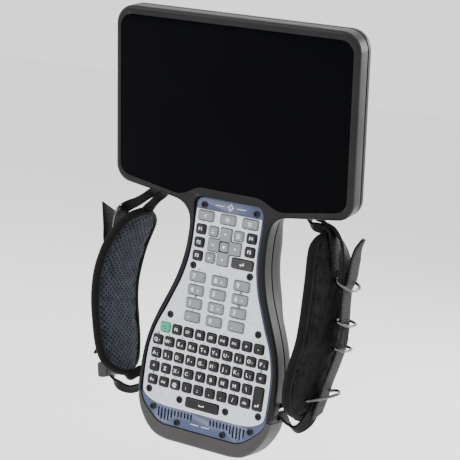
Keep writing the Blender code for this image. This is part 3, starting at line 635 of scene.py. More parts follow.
def build_bottom_cap():
    bm = bent_solid(front_levels(CASTING) + rear_levels(CASTING)[1:], rear=True)
    bm = level_cut(bm, CAP_SEAM - 0.2, keep_above=False)
    bm = carve(bm, pocket_tool())
    bm = carve(bm, settle(block(PORT_ENDS[0] - 0.5, PORT_ENDS[1] + 0.5, 8.6, 17.4, -32.0, -27.4)))
    bm = carve(bm, settle(block(PORT_MIDDLE - 4.7, PORT_MIDDLE + 4.7, 10.4, 15.6, -30.0, -20.0)))
    make_piece("bottom_cap_shell", bm, [cap_plastic], "case", ["bottom_cap"], bevel=0.22)


build_bottom_cap()

# ------------------------------------------------------------------ display glass
# One sheet of black-backed cover glass, bonded flush into the front housing. Its edges are ground
# to a small round, and its lower edge is notched upwards over the keypad.

cover_glass = plain_material("cover_glass", (0.0006, 0.0007, 0.0014), 0.06, Specular_IOR_Level=0.03)


def build_display_glass():
    outline = glass_outline()
    bm = drawn_through([(inset(outline, 0.35), 0.25), (inset(outline, 0.1), 0.32), (outline, 0.6),
                        (outline, 1.55)])
    slice_levels(bm, 117.0, 127.6, 0.8)
    make_piece("display_cover_glass", bend(bm), [cover_glass], "case", ["display_glass"])


build_display_glass()

# ------------------------------------------------------------------ faceplate
# A 1.6 mm aluminium plate, painted satin blue, that clamps the key mat. It has a window for every
# key, a hole for each screw and two rows of slots in front of the speakers.

KEY_PITCH, ROW_PITCH = 8.98, 9.18
NUMBER_PITCH_X, NUMBER_PITCH_Z = 16.85, 9.05
SMALL_KEY, WIDE_KEY, CORNER_KEY, SELECT_KEY = (7.2, 6.2), (11.6, 6.4), (7.0, 6.4), (6.8, 6.6)
DPAD_CENTRE, DPAD_ARM, DPAD_HALF_WIDTH = 107.0, 12.4, 4.2
PLATE_SCREWS = [(19.7, 132.2), (21.6, 91.2), (33.7, 55.3), (42.2, 2.5), (17.8, 0.1),
                (37.6, -8.9), (17.7, -15.7)]


def row_height(row):
    return 46.06 - ROW_PITCH * row


def moving_keys():
    """Keys with caps of their own: name to centre, size and finish."""
    keys = {
        "power_key": (-4 * KEY_PITCH, row_height(0), SMALL_KEY, "green_key"),
        "back_key": (-16.8, 125.1, WIDE_KEY, "grey_key"),
        "home_key": (0.0, 125.1, WIDE_KEY, "grey_key"),
        "recent_apps_key": (16.8, 125.1, WIDE_KEY, "grey_key"),
        "enter_key": (15.0, 98.2, (16.2, 6.4), "brown_key"),
        "return_key": (4.5 * KEY_PITCH, 14.0, (7.2, 15.4), "black_key"),
        "space_key": (0.0, 0.0, (25.4, 6.4), "black_key"),
    }
    for number in range(5):
        side, row = (-1, number) if number < 3 else (1, number - 3)
        keys["f%d_key" % (number + 1)] = (side * 19.2, 115.9 - 8.9 * row, SMALL_KEY, "black_key")
    return keys


def mat_keys():
    """Keys moulded on the mat: centre, size and finish."""
    keys = [((column - 4) * KEY_PITCH, row_height(0), SMALL_KEY, "black_key") for column in range(1, 9)]
    for row, columns in ((1, 10), (2, 10), (3, 9), (4, 9)):
        for column in range(columns):
            keys.append(((column - 4.5) * KEY_PITCH, row_height(row), SMALL_KEY, "black_key"))
    for row in range(4):
        for column in (-1, 0, 1):
            keys.append((column * NUMBER_PITCH_X, 84.1 - NUMBER_PITCH_Z * row, WIDE_KEY, "grey_key"))
    for x, z in ((-9.6, 115.8), (9.6, 115.8), (-9.6, 98.2)):
        keys.append((x, z, CORNER_KEY, "grey_key"))
    return keys


def cross_outline(grow=0.0):
    arm, half = DPAD_ARM + grow, DPAD_HALF_WIDTH + grow
    quarter = [(half, -arm), (half, -half), (arm, -half), (arm, half), (half, half), (half, arm)]
    return [(x, v + DPAD_CENTRE) for x, v in quarter + [(-x, -v) for x, v in quarter]]


def key_windows(front, back, gap=0.45):
    shapes = []
    for x, z, (width, height), _ in mat_keys() + list(moving_keys().values()):
        shapes.append(block(x - width / 2 - gap, x + width / 2 + gap, front, back,
                            z - height / 2 - gap, z + height / 2 + gap, 1.5, 3))
    cross = slab(cross_outline(gap), front, back)
    return shapes + [rounded(cross, depth_edges(cross, 0.1), 1.2, 3)]


def screw_places():
    return [(side * x, z) for x, z in PLATE_SCREWS for side in (-1, 1)]


def speaker_slots():
    """Eleven slots on each side; the outer ones run deeper, down to the chamfered corner."""
    bottoms = [-14.4, -16.2, -16.2, -16.2, -14.0] + [-12.1] * 6
    slots = []
    for side in (-1, 1):
        for number, bottom in enumerate(bottoms):
            x = side * (32.9 - 2.55 * number)
            slots.append(block(x - 0.55, x + 0.55, 0.0, 3.2, bottom, -8.0, 0.5, 3))
    return slots


blue_paint = grained("blue_paint", (0.050, 0.066, 0.128), (0.066, 0.084, 0.158), (0.34, 0.36, 0.42),
                     0.38, scale=3200.0, wear=0.35, bump=0.012, metallic=0.35)


def build_faceplate():
    outline = plate_outline()
    bm = settle(drawn_through([(inset(outline, 0.3), 0.8), (outline, 1.1), (outline, 2.4)]))
    holes = [rod(x, z, -1.0, 5.0, 1.4, 20) for x, z in screw_places()]
    bm = carve(bm, settle(gathered(key_windows(-1.0, 4.0) + speaker_slots() + holes)))
    make_piece("blue_faceplate", bm, [blue_paint], "case", ["faceplate"], bevel=0.12)


build_faceplate()

# ------------------------------------------------------------------ keypad overlay
# A thin silver sheet bonded to the faceplate between the blue bands, printed in a fine metallic
# grain. It has rounded key windows, punched screw holes, and small microphone and vent holes.


def overlay_outline():
    side = curve_through([
        (28.0, -6.3), (36.0, -5.4), (42.5, -3.0), (46.4, 0.8), (47.3, 8.0), (47.3, 24.0),
        (46.2, 34.6), (42.9, 47.2), (37.5, 59.3), (32.6, 71.5), (29.3, 80.0), (26.6, 90.0),
        (25.0, 100.0), (24.5, 110.0), (24.8, 129.2)], 4)
    return both_sides(side)


silver_print = grained("silver_print", (0.56, 0.575, 0.60), (0.66, 0.675, 0.70), (0.8, 0.8, 0.82),
                       0.42, scale=1500.0, wear=0.3, spread=0.2, bump=0.01, metallic=0.25)


def build_overlay():
    outline = overlay_outline()
    bm = settle(drawn_through([(inset(outline, 0.12), 0.0), (outline, 0.12), (outline, 0.5)]))
    holes = [rod(x, z, -1.0, 3.0, 2.55, 28) for x, z in screw_places() if -5 < z < 129]
    holes += [rod(side * x, z, -1.0, 3.0, 0.42, 12)
              for side in (-1, 1) for x, z in ((28.9, 61.6), (32.4, 1.6))]
    bm = carve(bm, settle(gathered(key_windows(-1.0, 3.0) + holes)))
    make_piece("silver_overlay_sheet", bm, [silver_print], "case", ["keypad_overlay"],
               bevel=0.07)


build_overlay()

# ------------------------------------------------------------------ keys
# Hard caps on a silicone mat. Each has steep sides and a flat top with a soft rim, in gloss black,
# silver grey, green or dark grey, with its legend printed in white.

KEY_TOP, KEY_BACK = -1.3, 3.2
KEY_PLASTICS = {
    "black_key": grained("black_key_plastic", (0.0045, 0.0045, 0.0055), (0.009, 0.009, 0.0105),
                         (0.09, 0.09, 0.10), 0.30, scale=1800.0, wear=0.5, bump=0.006,
                         Specular_IOR_Level=0.3),
    "grey_key": grained("grey_key_plastic", (0.165, 0.183, 0.20), (0.20, 0.22, 0.24),
                        (0.50, 0.53, 0.56), 0.36, scale=2200.0, wear=0.5, bump=0.008),
    "green_key": grained("green_key_plastic", (0.008, 0.31, 0.165), (0.012, 0.37, 0.20),
                         (0.3, 0.75, 0.55), 0.34, scale=2200.0, wear=0.4, bump=0.006),
    "brown_key": grained("brown_key_plastic", (0.014, 0.0125, 0.0125), (0.021, 0.0185, 0.0185),
                         (0.15, 0.14, 0.14), 0.36, scale=2200.0, wear=0.5, bump=0.006),
}
legend_white = grained("legend_white", (0.80, 0.81, 0.82), (0.86, 0.86, 0.87), (0.9, 0.9, 0.9), 0.5)
legend_dark = grained("legend_dark", (0.012, 0.013, 0.016), (0.022, 0.023, 0.027),
                      (0.05, 0.05, 0.05), 0.5)


def key_cap(x, z, size, back):
    """One cap: straight skirt, steep sides and a rounded top."""
    width, height = size
    bm = block(x - width / 2, x + width / 2, -0.05, back, z - height / 2, z + height / 2, 1.25, 4)
    top = min(bm.faces, key=lambda face: face.calc_center_median().y)
    side = (width - 1.15) / width
    tall = (height - 1.3) / height
    top = bmesh.ops.extrude_discrete_faces(bm, faces=[top])["faces"][0]
    rim = top.edges[:]
    middle = Matrix.Translation((x, 0, z))
    bmesh.ops.transform(bm, verts=top.verts[:], matrix=Matrix.Translation((0, KEY_TOP + 0.05, 0))
                        @ middle @ Matrix.Diagonal((side, 1.0, tall, 1.0)) @ middle.inverted())
    return rounded(bm, rim, 0.32, 3, 0.55)


def lettering(text, x, z, height, align='CENTER', weight=0.0):
    """Text standing on a face of the keypad, in millimetres, as a closed thin solid."""
    curve = bpy.data.curves.new("lettering", 'FONT')
    curve.body, curve.size = text, height
    curve.align_x, curve.align_y = align, 'CENTER'
    curve.extrude, curve.offset, curve.resolution_u = 0.05, weight, 2
    writing = bpy.data.objects.new("lettering", curve)
    bpy.context.collection.objects.link(writing)
    finished = writing.evaluated_get(bpy.context.evaluated_depsgraph_get())
    bm = bmesh.new()
    bm.from_mesh(finished.to_mesh())
    finished.to_mesh_clear()
    bpy.data.objects.remove(writing)
    bpy.data.curves.remove(curve)
    turn = Matrix.Translation((x, 0, z)) @ Matrix.Rotation(math.radians(90), 4, 'X')
    bmesh.ops.transform(bm, verts=bm.verts, matrix=turn)
    return bm


def mark(points, x, z, scale=1.0):
    """A small printed shape from its corner points, given round their own middle."""
    return slab([(x + px * scale, z + pz * scale) for px, pz in points], -0.05, 0.05)


TRIANGLE = [(-0.9, -0.6), (0.9, -0.6), (0.0, 0.8)]
DIAMOND = [(0.0, -1.5), (1.5, 0.0), (0.0, 1.5), (-1.5, 0.0)]
SQUARE = [(-1.3, -1.3), (1.3, -1.3), (1.3, 1.3), (-1.3, 1.3)]
RETURN_ARROW = [(-1.7, -0.5), (-0.5, -1.5), (-0.5, -0.8), (1.7, -0.8), (1.7, 1.1), (1.0, 1.1),
                (1.0, -0.2), (-0.5, -0.2), (-0.5, 0.5)]
CHEVRON = [(-1.3, 0.0), (0.9, -1.4), (0.9, -0.9), (-0.2, 0.0), (0.9, 0.9), (0.9, 1.4)]
SPACE_MARK = [(-2.0, 0.5), (-2.0, -0.6), (2.0, -0.6), (2.0, 0.5), (1.5, 0.5), (1.5, -0.1),
              (-1.5, -0.1), (-1.5, 0.5)]


def turned_points(points, degrees):
    c, s = math.cos(math.radians(degrees)), math.sin(math.radians(degrees))
    return [(x * c - z * s, x * s + z * c) for x, z in points]


def lay_on_top(bm, level=KEY_TOP):
    """Move prints, drawn round depth 0, to a key's top, standing 0.03 mm proud."""
    return shifted(bm, 0, level + 0.02, 0)


def with_prints(cap, prints):
    """One mesh of a cap, in its first material, and its printed legend, in its second."""
    for bm, index in ((cap, 0), (prints, 1)):
        for face in bm.faces:
            face.material_index = index
    return gathered([cap, prints])


def key_prints(name, x, z):
    """The legend of a key that has a cap of its own."""
    if name.startswith("f") and name[1].isdigit():
        return lettering(name[:2].upper(), x, z, 3.3, weight=0.03)
    shapes = {"back_key": (CHEVRON, 0.9), "home_key": (DIAMOND, 1.0), "recent_apps_key": (SQUARE, 0.9),
              "enter_key": (RETURN_ARROW, 0.95), "return_key": (RETURN_ARROW, 0.9),
              "space_key": (SPACE_MARK, 1.0)}
    if name == "power_key":
        ring = arc((0, 0), 1.3, 125, 415, 14) + arc((0, 0), 0.95, 415, 125, 14)
        return gathered([mark(ring, x, z), mark([(-0.2, 0.3), (0.2, 0.3), (0.2, 1.6), (-0.2, 1.6)], x, z)])
    points, scale = shapes[name]
    bm = mark(points, x, z - (4.2 if name == "return_key" else 0.0), scale)
    if name in ("home_key", "recent_apps_key"):
        hole = mark(inset(points, 0.42), x, z, scale)
        bmesh.ops.scale(hole, verts=hole.verts, vec=(1, 3, 1))
        bm = carve(bm, hole)
    return bm


def build_moving_keys():
    for name, (x, z, size, finish) in moving_keys().items():
        bm = with_prints(key_cap(x, z, size, KEY_BACK), lay_on_top(key_prints(name, x, z)))
        printed = legend_dark if name == "power_key" else legend_white
        make_piece(name + "_cap", settle(bm), [KEY_PLASTICS[finish], printed], name, [name])


def build_direction_pad():
    """A raised cross with four printed arrows, round the square select key."""
    outline = cross_outline()
    bm = slab(outline, -0.2, KEY_BACK)
    rounded(bm, depth_edges(bm, 1.0), 1.3, 4)
    top = min(bm.faces, key=lambda face: face.calc_center_median().y)
    bmesh.ops.inset_region(bm, faces=[top], thickness=0.45, depth=1.0, use_even_offset=True)
    rounded(bm, top.edges[:], 0.3, 3)
    x, z = SELECT_KEY[0] / 2 + 0.5, SELECT_KEY[1] / 2 + 0.5
    bm = carve(bm, block(-x, x, -4.0, 6.0, DPAD_CENTRE - z, DPAD_CENTRE + z, 0.9, 3))
    prints = [mark(turned_points([(px, pz + 8.6) for px, pz in TRIANGLE], 90 * i), 0, DPAD_CENTRE)
              for i in range(4)]
    bm = with_prints(bm, lay_on_top(gathered(prints), -1.2))
    make_piece("direction_pad_cross", settle(bm), [KEY_PLASTICS["grey_key"], legend_white],
               "direction_pad", ["direction_pad"])
    cap = key_cap(0.0, DPAD_CENTRE, SELECT_KEY, KEY_BACK)
    dot = mark(arc((0, 0), 1.0, 0, 345, 23), 0.0, DPAD_CENTRE)
    make_piece("select_key_cap", settle(with_prints(cap, lay_on_top(dot))),
               [KEY_PLASTICS["grey_key"], legend_white], "select_key", ["select_key"])


build_moving_keys()
build_direction_pad()

# ------------------------------------------------------------------ letter and number keys
# The letter, digit and corner keys are caps bonded to one moulded silicone sheet, which seals the
# keypad. The sheet is cut away where keys with their own travel pass through it.

LETTER_ROWS = [
    ["F6", "F7", "F8", "F9", "F10", "F11", "+", "-"],
    list("QWERTYUIOP"),
    list("ASDFGHJKL") + ["<"],
    ["^"] + list("ZXCVBNM") + ["\\"],
    ["Fn", "Ctrl", "@", ":", ";", ",", ".", "/", "Alt"],
]
SECOND_SIGNS = ["", "!\"#$%&*(){", "[]_=~'|{}", "  ?`", ""]
NUMBER_ROWS = ["789", "456", "123", "-0."]
NUMBER_ARROWS = {(0, 1): 0, (1, 0): 90, (1, 2): -90, (2, 1): 180}
mat_silicone = grained("mat_silicone", (0.006, 0.006, 0.0065), (0.010, 0.010, 0.011),
                       (0.05, 0.05, 0.05), 0.7, wear=0.1, Specular_IOR_Level=0.2)


def letter_prints():
    prints = []
    for row, signs in enumerate(LETTER_ROWS):
        for column, sign in enumerate(signs):
            x = (column - 3) * KEY_PITCH if row == 0 else (column - 4.5) * KEY_PITCH
            z = row_height(row)
            height = {1: 3.5, 2: 2.9, 3: 2.35, 4: 2.1}[len(sign)]
            second = SECOND_SIGNS[row][column:column + 1].strip()
            shift = 0.95 if second else 0.0
            prints.append(lettering(sign, x - shift, z, height, weight=0.03))
            if second:
                prints.append(lettering(second, x + 1.55, z - 0.45, 2.0))
    for row, signs in enumerate(NUMBER_ROWS):
        for column, sign in enumerate(signs):
            x, z = (column - 1) * NUMBER_PITCH_X, 84.1 - NUMBER_PITCH_Z * row
            prints.append(lettering(sign, x - 2.3, z, 4.5, weight=0.06))
            if (row, column) in NUMBER_ARROWS:
                arrow = turned_points(TRIANGLE, NUMBER_ARROWS[row, column])
                prints.append(mark(arrow, x + 2.2, z - 0.2, 0.85))
    bar = [(-1.1, -0.22), (1.1, -0.22), (1.1, 0.22), (-1.1, 0.22)]
    prints += [mark(bar, -9.6, 115.0), mark(TRIANGLE, -9.6, 116.6, 0.7), mark(TRIANGLE, -9.6, 98.0)]
    prints += [mark(bar, 9.6, 115.8 + rise) for rise in (-1.1, 0.0, 1.1)]
    return lay_on_top(gathered(prints))


def build_mat():
    caps, finishes = [], ["black_key", "grey_key"]
    for x, z, size, finish in mat_keys():
        cap = key_cap(x, z, size, 2.9)
        for face in cap.faces:
            face.material_index = finishes.index(finish)
        caps.append(cap)
    prints = letter_prints()
    for face in prints.faces:
        face.material_index = len(finishes)
    make_piece("letter_and_number_keys", settle(gathered(caps + [prints])),
               [KEY_PLASTICS[finish] for finish in finishes] + [legend_white], "case",
               ["keypad_mat"])
    sheet = slab(inset(overlay_outline(), 1.1), 2.75, 3.9)
    passages = []
    for x, z, (width, height), _ in moving_keys().values():
        passages.append(block(x - width / 2 - 0.5, x + width / 2 + 0.5, 2.0, 5.0,
                              z - height / 2 - 0.5, z + height / 2 + 0.5))
    passages.append(slab(cross_outline(0.55), 2.0, 5.0))
    passages += [rod(x, z, 2.0, 5.0, 1.4, 12) for x, z in screw_places() if -4 < z < 129]
    make_piece("silicone_mat", carve(settle(sheet), settle(gathered(passages))), [mat_silicone],
               "case", ["keypad_mat"])


build_mat()

# ------------------------------------------------------------------ printing on the plate
# Small dark signs between the key rows, a plain sighting mark with bars on the upper blue band and
# two bars on the lower one are screen printed.

SMALL_SIGNS = "+ * / = # % < > ? : ; ( ) [ ] ~ & @ ! _".split()


def build_plate_prints():
    dark, light = [], []
    picker = random.Random(7)
    for row in range(1, 5):
        columns = 10 if row < 3 else 9
        for column in range(columns):
            x = (column - 4.5) * KEY_PITCH + picker.uniform(-0.8, 0.8)
            sign = picker.choice(SMALL_SIGNS)
            if picker.random() < 0.3:
                dark.append(mark(TRIANGLE, x, row_height(row) + 4.6, 0.7))
            else:
                dark.append(lettering(sign, x, row_height(row) + 4.6, 2.5, weight=0.07))
    for row in range(4):
        for column in (-1, 0, 1):
            x = column * NUMBER_PITCH_X + picker.uniform(-1.0, 1.0)
            sign = picker.choice(SMALL_SIGNS)
            dark.append(lettering(sign, x, 88.85 - NUMBER_PITCH_Z * row, 2.6, weight=0.07))
    for side in (-1, 1):
        for z in (39.5, 51.2):
            dark.append(mark(TRIANGLE, side * 36.0, z, 0.6))
    prints = shifted(gathered(dark), 0, -0.04, 0)
    make_piece("overlay_prints", settle(prints), [legend_dark], "case")
    ring = arc((0, 0), 1.7, 2, 358, 28) + arc((0, 0), 1.35, 358, 2, 28)
    light.append(mark(ring, 0.0, 133.2))
    bar = [(-1.0, -0.16), (1.0, -0.16), (1.0, 0.16), (-1.0, 0.16)]
    for turn in (0, 90, 180, 270):
        light.append(mark(turned_points([(x + 1.6, z) for x, z in bar], turn), 0.0, 133.2))
    for side in (-1, 1):
        light.append(mark([(x * 3.4, z) for x, z in bar], side * 8.2, 133.2))
        light.append(mark([(x * 3.0, z) for x, z in bar], side * 4.2, -14.2))
    prints = shifted(gathered(light), 0, 0.83, 0)
    make_piece("band_prints", settle(prints), [legend_white], "case")


build_plate_prints()

# ------------------------------------------------------------------ plate screws
# Fourteen black-oxide steel screws with a shallow domed head and a six-sided socket. They clamp
# the plate, the mat and the board to the housing.

screw_oxide = grained("screw_black_oxide", (0.006, 0.006, 0.008), (0.012, 0.012, 0.015),
                      (0.25, 0.25, 0.27), 0.32, scale=2600.0, wear=0.6, bump=0.008, metallic=0.7,
                      Specular_IOR_Level=0.3)
SOCKET_DEPTH = 0.25


def turned(profile, sides=40):
    """A turned shape round the depth axis: (depth, radius) pairs, drawn from the first on."""
    bm = bmesh.new()
    bmesh.ops.create_circle(bm, cap_ends=True, segments=sides, radius=profile[0][1])
    bmesh.ops.rotate(bm, verts=bm.verts, matrix=Matrix.Rotation(math.radians(90), 3, 'X'))
    shifted(bm, 0, profile[0][0], 0)
    face = bm.faces[:][0]
    for depth, radius in profile[1:]:
        face = bmesh.ops.extrude_discrete_faces(bm, faces=[face])["faces"][0]
        for vert in face.verts:
            way = Vector((vert.co.x, vert.co.z)).normalized()
            vert.co = (way.x * radius, depth, way.y * radius)
    return close_ends(bm)


def screw(x, z):
    """A domed head with a six-sided socket, on a plain shank."""
    bm = turned([(0.0, 2.15), (0.45, 2.15), (-0.1, 2.15), (-0.3, 2.0), (-0.42, 1.7), (-0.47, 1.15),
                 (-0.42, 1.02), (SOCKET_DEPTH, 0.95)], 30)
    for vert in bm.verts:
        if abs(vert.co.y - SOCKET_DEPTH) < 1e-6:
            turn = math.atan2(vert.co.z, vert.co.x)
            six = 1.0 - 0.16 * (0.5 + 0.5 * math.cos(6 * turn))
            vert.co.x, vert.co.z = vert.co.x * six, vert.co.z * six
    bmesh.ops.remove_doubles(bm, verts=bm.verts, dist=1e-4)
    bmesh.ops.recalc_face_normals(bm, faces=bm.faces)
    return gathered([shifted(bm, x, 0, z), rod(x, z, 0.5, 5.9, 1.0, 12)])


def build_plate_screws():
    screws = gathered([screw(x, z) for x, z in screw_places()])
    names = ["plate_screw_%02d" % (number + 1) for number in range(len(screw_places()))]
    make_piece("plate_screws", settle(screws), [screw_oxide], "case", names)


build_plate_screws()

# ------------------------------------------------------------------ battery door, latch, pole plate
# A ribbed plastic door on the back of the handle, hinged at its foot and held by a sliding latch.
# Above it a brushed stainless plate, screwed to the neck, takes the pole bracket.

latch_plastic = grained("latch_plastic", (0.10, 0.098, 0.094), (0.13, 0.126, 0.12),
                        (0.22, 0.21, 0.2), 0.5)
brushed_steel = grained("brushed_steel", (0.26, 0.26, 0.27), (0.36, 0.36, 0.37), (0.7, 0.7, 0.71),
                        0.30, scale=1400.0, wear=0.5, spread=0.25, bump=0.01, metallic=1.0)
door_low, door_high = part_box("battery_door")
latch_low, latch_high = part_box("battery_latch")


def in_keypad(point):
    """A point of the model's frame in millimetres of the keypad's frame."""
    return (point - ORIGIN) / MM


def build_battery_door():
    low, high = in_keypad(door_low), in_keypad(door_high)
    bm = block(low.x, high.x, low.y, high.y - 0.35, low.z, high.z, 0.7)
    ribs = [bm]
    for number in range(7):
        z = low.z + 8.0 + 4.6 * number
        ribs.append(block(-17.0, 17.0, high.y - 0.5, high.y, z, z + 1.7, 0.3, 2))
    frame_band = block(low.x + 2.5, high.x - 2.5, high.y - 0.5, high.y, low.z + 2.5, high.z - 2.5, 2.0)
    inner = block(low.x + 4.0, high.x - 4.0, high.y - 2.0, high.y + 2.0, low.z + 4.0, high.z - 4.0, 1.5)
    ribs.append(carve(frame_band, inner))
    make_piece("battery_door_panel", settle(gathered(ribs)), [housing_nylon], "battery_door",
               ["battery_door"], bevel=0.15)
    low, high = in_keypad(latch_low), in_keypad(latch_high)
    bm = block(low.x, high.x, low.y, high.y - 0.5, low.z, high.z, 1.4)
    grips = [block(low.x + 1.2, high.x - 1.2, high.y - 0.6, high.y, z, z + 0.55)
             for z in [low.z + 0.9 + 1.0 * i for i in range(5)]]
    make_piece("battery_latch_slider", settle(gathered([bm] + grips)), [latch_plastic], "battery_latch",
               ["battery_latch"], bevel=0.12)


def build_pole_plate():
    low, high = (in_keypad(corner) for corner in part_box("pole_mount_plate"))
    middle = (low.z + high.z) / 2
    bm = block(low.x, high.x, low.y, high.y, low.z, high.z, 3.0, 6)
    holes = []
    for side in (-1, 1):
        for level in (-1, 1):
            x, z = side * 12.0, middle + level * 7.5
            holes.append(rod(x, z, low.y - 1, high.y + 1, 2.0, 24))
    bm = carve(bm, gathered(holes))
    make_piece("pole_mount_block", settle(bm), [brushed_steel], "case", ["pole_mount_plate"],
               bevel=0.3)


build_battery_door()
build_pole_plate()

# ------------------------------------------------------------------ camera, flash, stylus, port cover
# A coated lens in a stepped ring and a ribbed flash window sit in the back of the head. The stylus
# slides into the head's left side, and a rubber flap with a pull tab covers the data port.

lens_coating = plain_material("lens_coating", (0.006, 0.006, 0.02), 0.04, Coat_Weight=0.6)
ring_black = grained("ring_black", (0.02, 0.02, 0.022), (0.03, 0.03, 0.032), (0.1, 0.1, 0.1), 0.35)
flash_window = grained("flash_window", (0.70, 0.66, 0.52), (0.80, 0.77, 0.66), (0.9, 0.9, 0.85), 0.3,
                       scale=4200.0, bump=0.03)
port_rubber = grained("port_rubber", (0.010, 0.010, 0.011), (0.016, 0.016, 0.017), (0.06, 0.06, 0.06),
                      0.75, scale=2600.0)
stylus_plastic = grained("stylus_plastic", (0.014, 0.014, 0.016), (0.022, 0.022, 0.024),
                         (0.1, 0.1, 0.1), 0.4)


def build_camera():
    for name, (x, v), profile, finish, slot in (
            ("camera_ring", CAMERA_PLACE,
             [(15.0, 5.2), (20.2, 5.2), (20.45, 4.9), (20.45, 4.1), (19.7, 3.5)],
             ring_black, "lens_glass"),
            ("camera_window", CAMERA_PLACE,
             [(19.2, 3.4), (19.9, 3.4), (20.05, 2.8), (20.12, 1.4), (20.13, 0.3)],
             lens_coating, "lens_glass"),
            ("flash_lens", FLASH_PLACE, [(15.0, 2.6), (20.3, 2.6), (20.45, 2.2), (20.5, 0.4)],
             flash_window, "ceramic")):
        node = "camera_flash" if name == "flash_lens" else "camera_lens"
        make_piece(name, bend(shifted(turned(profile), x, 0, v)), [finish], "case", [node])


def build_stylus():
    low, high = (in_keypad(corner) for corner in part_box("stylus"))
    middle_y, middle_z = (low.y + high.y) / 2, (low.z + high.z) / 2
    profile = [(0.0, 1.9), (0.25, 2.3), (0.6, 2.45), (3.4, 2.45), (3.6, 2.1), (4.4, 2.1), (4.6, 2.45),
               (8.0, 2.45), (8.2, 2.3), (95.5, 2.3), (103.8, 1.0), (105.2, 0.6), (105.5, 0.3)]
    bm = turned(profile, 24)
    turn = Matrix.Translation((low.x, middle_y, middle_z)) @ Matrix.Rotation(math.radians(-90), 4, 'Z')
    bmesh.ops.transform(bm, verts=bm.verts, matrix=turn)
    make_piece("stylus_pen", settle(bm), [stylus_plastic], "stylus", ["stylus"])


def build_port_cover():
    flap = block(PORT_ENDS[0], PORT_ENDS[1], 9.0, 17.0, -29.3, -27.8)
    tab = block(PORT_ENDS[0] + 1.6, PORT_ENDS[0] + 5.6, 9.4, 12.6, -31.2, -29.25)
    rounded(tab, tab.edges[:], 0.6, 3)
    plug = block(PORT_MIDDLE - 3.9, PORT_MIDDLE + 3.9, 11.2, 14.8, -27.9, -27.5)
    make_piece("port_cover_flap", settle(gathered([flap, tab, plug])), [port_rubber], "port_cover",
               ["port_cover"], bevel=0.2)


build_camera()
build_stylus()
build_port_cover()

# ------------------------------------------------------------------ pieces seen through gaps
# The gasket, speakers, pins, boards, display, antenna, connector and battery keep their packed
# shapes; they are seen through slots, seams and the open battery door.

inner_finishes = {
    "housing_gasket": port_rubber,
    "speaker_left": grained("speaker_cloth", (0.004, 0.004, 0.005), (0.012, 0.012, 0.013),
                            (0.02, 0.02, 0.02), 0.85, scale=5200.0, bump=0.05),
    "data_port": brushed_steel,
    "battery_pack": grained("battery_shell", (0.022, 0.022, 0.025), (0.032, 0.032, 0.036),
                            (0.1, 0.1, 0.1), 0.5),
    "main_board": grained("solder_mask", (0.008, 0.075, 0.03), (0.012, 0.11, 0.045), (0.3, 0.35, 0.2),
                          0.4, scale=700.0, spread=0.3),
    "display_panel": grained("panel_back", (0.008, 0.008, 0.010), (0.014, 0.014, 0.016),
                             (0.05, 0.05, 0.05), 0.3),
    "gnss_antenna": grained("antenna_ceramic", (0.52, 0.48, 0.40), (0.60, 0.56, 0.48),
                            (0.7, 0.66, 0.6), 0.6),
}
inner_finishes["speaker_right"] = inner_finishes["speaker_left"]
inner_finishes["keypad_board"] = inner_finishes["main_board"]
for side in ("left", "right"):
    for level in ("upper", "lower"):
        inner_finishes["strap_pin_%s_%s" % (side, level)] = brushed_steel
for node, finish in inner_finishes.items():
    for material_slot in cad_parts[node].material_slots:
        material_slot.material = finish

# ------------------------------------------------------------------ hand strap pads
# Each pad is a strip of foam between black cloth and a grey spacer mesh, which faces the hand. A
# soft tape is folded over its edge and sewn through both. The swell of the foam is worked out as
# cloth under pressure, held along the seam.

PAD_LINES = {
    "left": [(67, 121, 8), (70.5, 116.5, 15), (76, 106, 19.5), (81, 94, 21.5), (84, 80, 22.5),
             (84.8, 68, 22.5), (83.6, 55, 22.5), (80.6, 42, 22.5), (77.2, 29, 22), (74.2, 19, 20),
             (70.5, 11, 15.5), (66.5, 5.5, 9)],
    "right": [(66, 128.5, 8), (68.5, 123.5, 14.5), (71.4, 113, 19.5), (73.4, 99, 21.5), (74.4, 85, 22.5),
              (74.6, 71, 22.5), (74, 58, 22.5), (71.8, 45, 22.5), (69.6, 33, 22), (68.6, 22, 20),
              (67, 12.5, 15), (64.5, 6.5, 9)]}
PAD_TWIST = {"left": -7.0, "right": 10.0}
PAD_MIDDLE_Y = 7.5
PAD_END = 9.0
CLOTH_SCALE = 0.01
Station = namedtuple("Station", "middle along across outward reach run")


def pad_stations(side, inset_by=0.0):
    """Places down a pad's middle line, in the side's own space, where x points outwards."""
    dense = curve_through(PAD_LINES[side], 12)
    runs = [0.0]
    for before, after in zip(dense, dense[1:]):
        runs.append(runs[-1] + math.dist(before[:2], after[:2]))
    turns = [math.radians(turn) for turn in (0, 12, 24, 38, 52, 70, 90)]
    near = [(inset_by + PAD_END * (1 - math.cos(turn)), math.sin(turn)) for turn in turns]
    length = runs[-1] - 2 * (inset_by + PAD_END)
    places = near + [(inset_by + PAD_END + length * i / 44, 1.0) for i in range(1, 44)]
    places += [(runs[-1] - run, share) for run, share in reversed(near)]
    across = Vector((PAD_TWIST[side] / 45.0, 1.0, 0.0)).normalized()
    stations = []
    for run, share in places:
        i = min(bisect.bisect_right(runs, run), len(runs) - 1)
        t = (run - runs[i - 1]) / (runs[i] - runs[i - 1])
        x, z, half = (a + (b - a) * t for a, b in zip(dense[i - 1], dense[i]))
        along = Vector((dense[i][0] - dense[i - 1][0], 0, dense[i][1] - dense[i - 1][1])).normalized()
        outward = along.cross(across).normalized()
        stations.append(Station(Vector((x, PAD_MIDDLE_Y, z)), along, across, outward,
                                (half - inset_by) * share, run))
    return stations


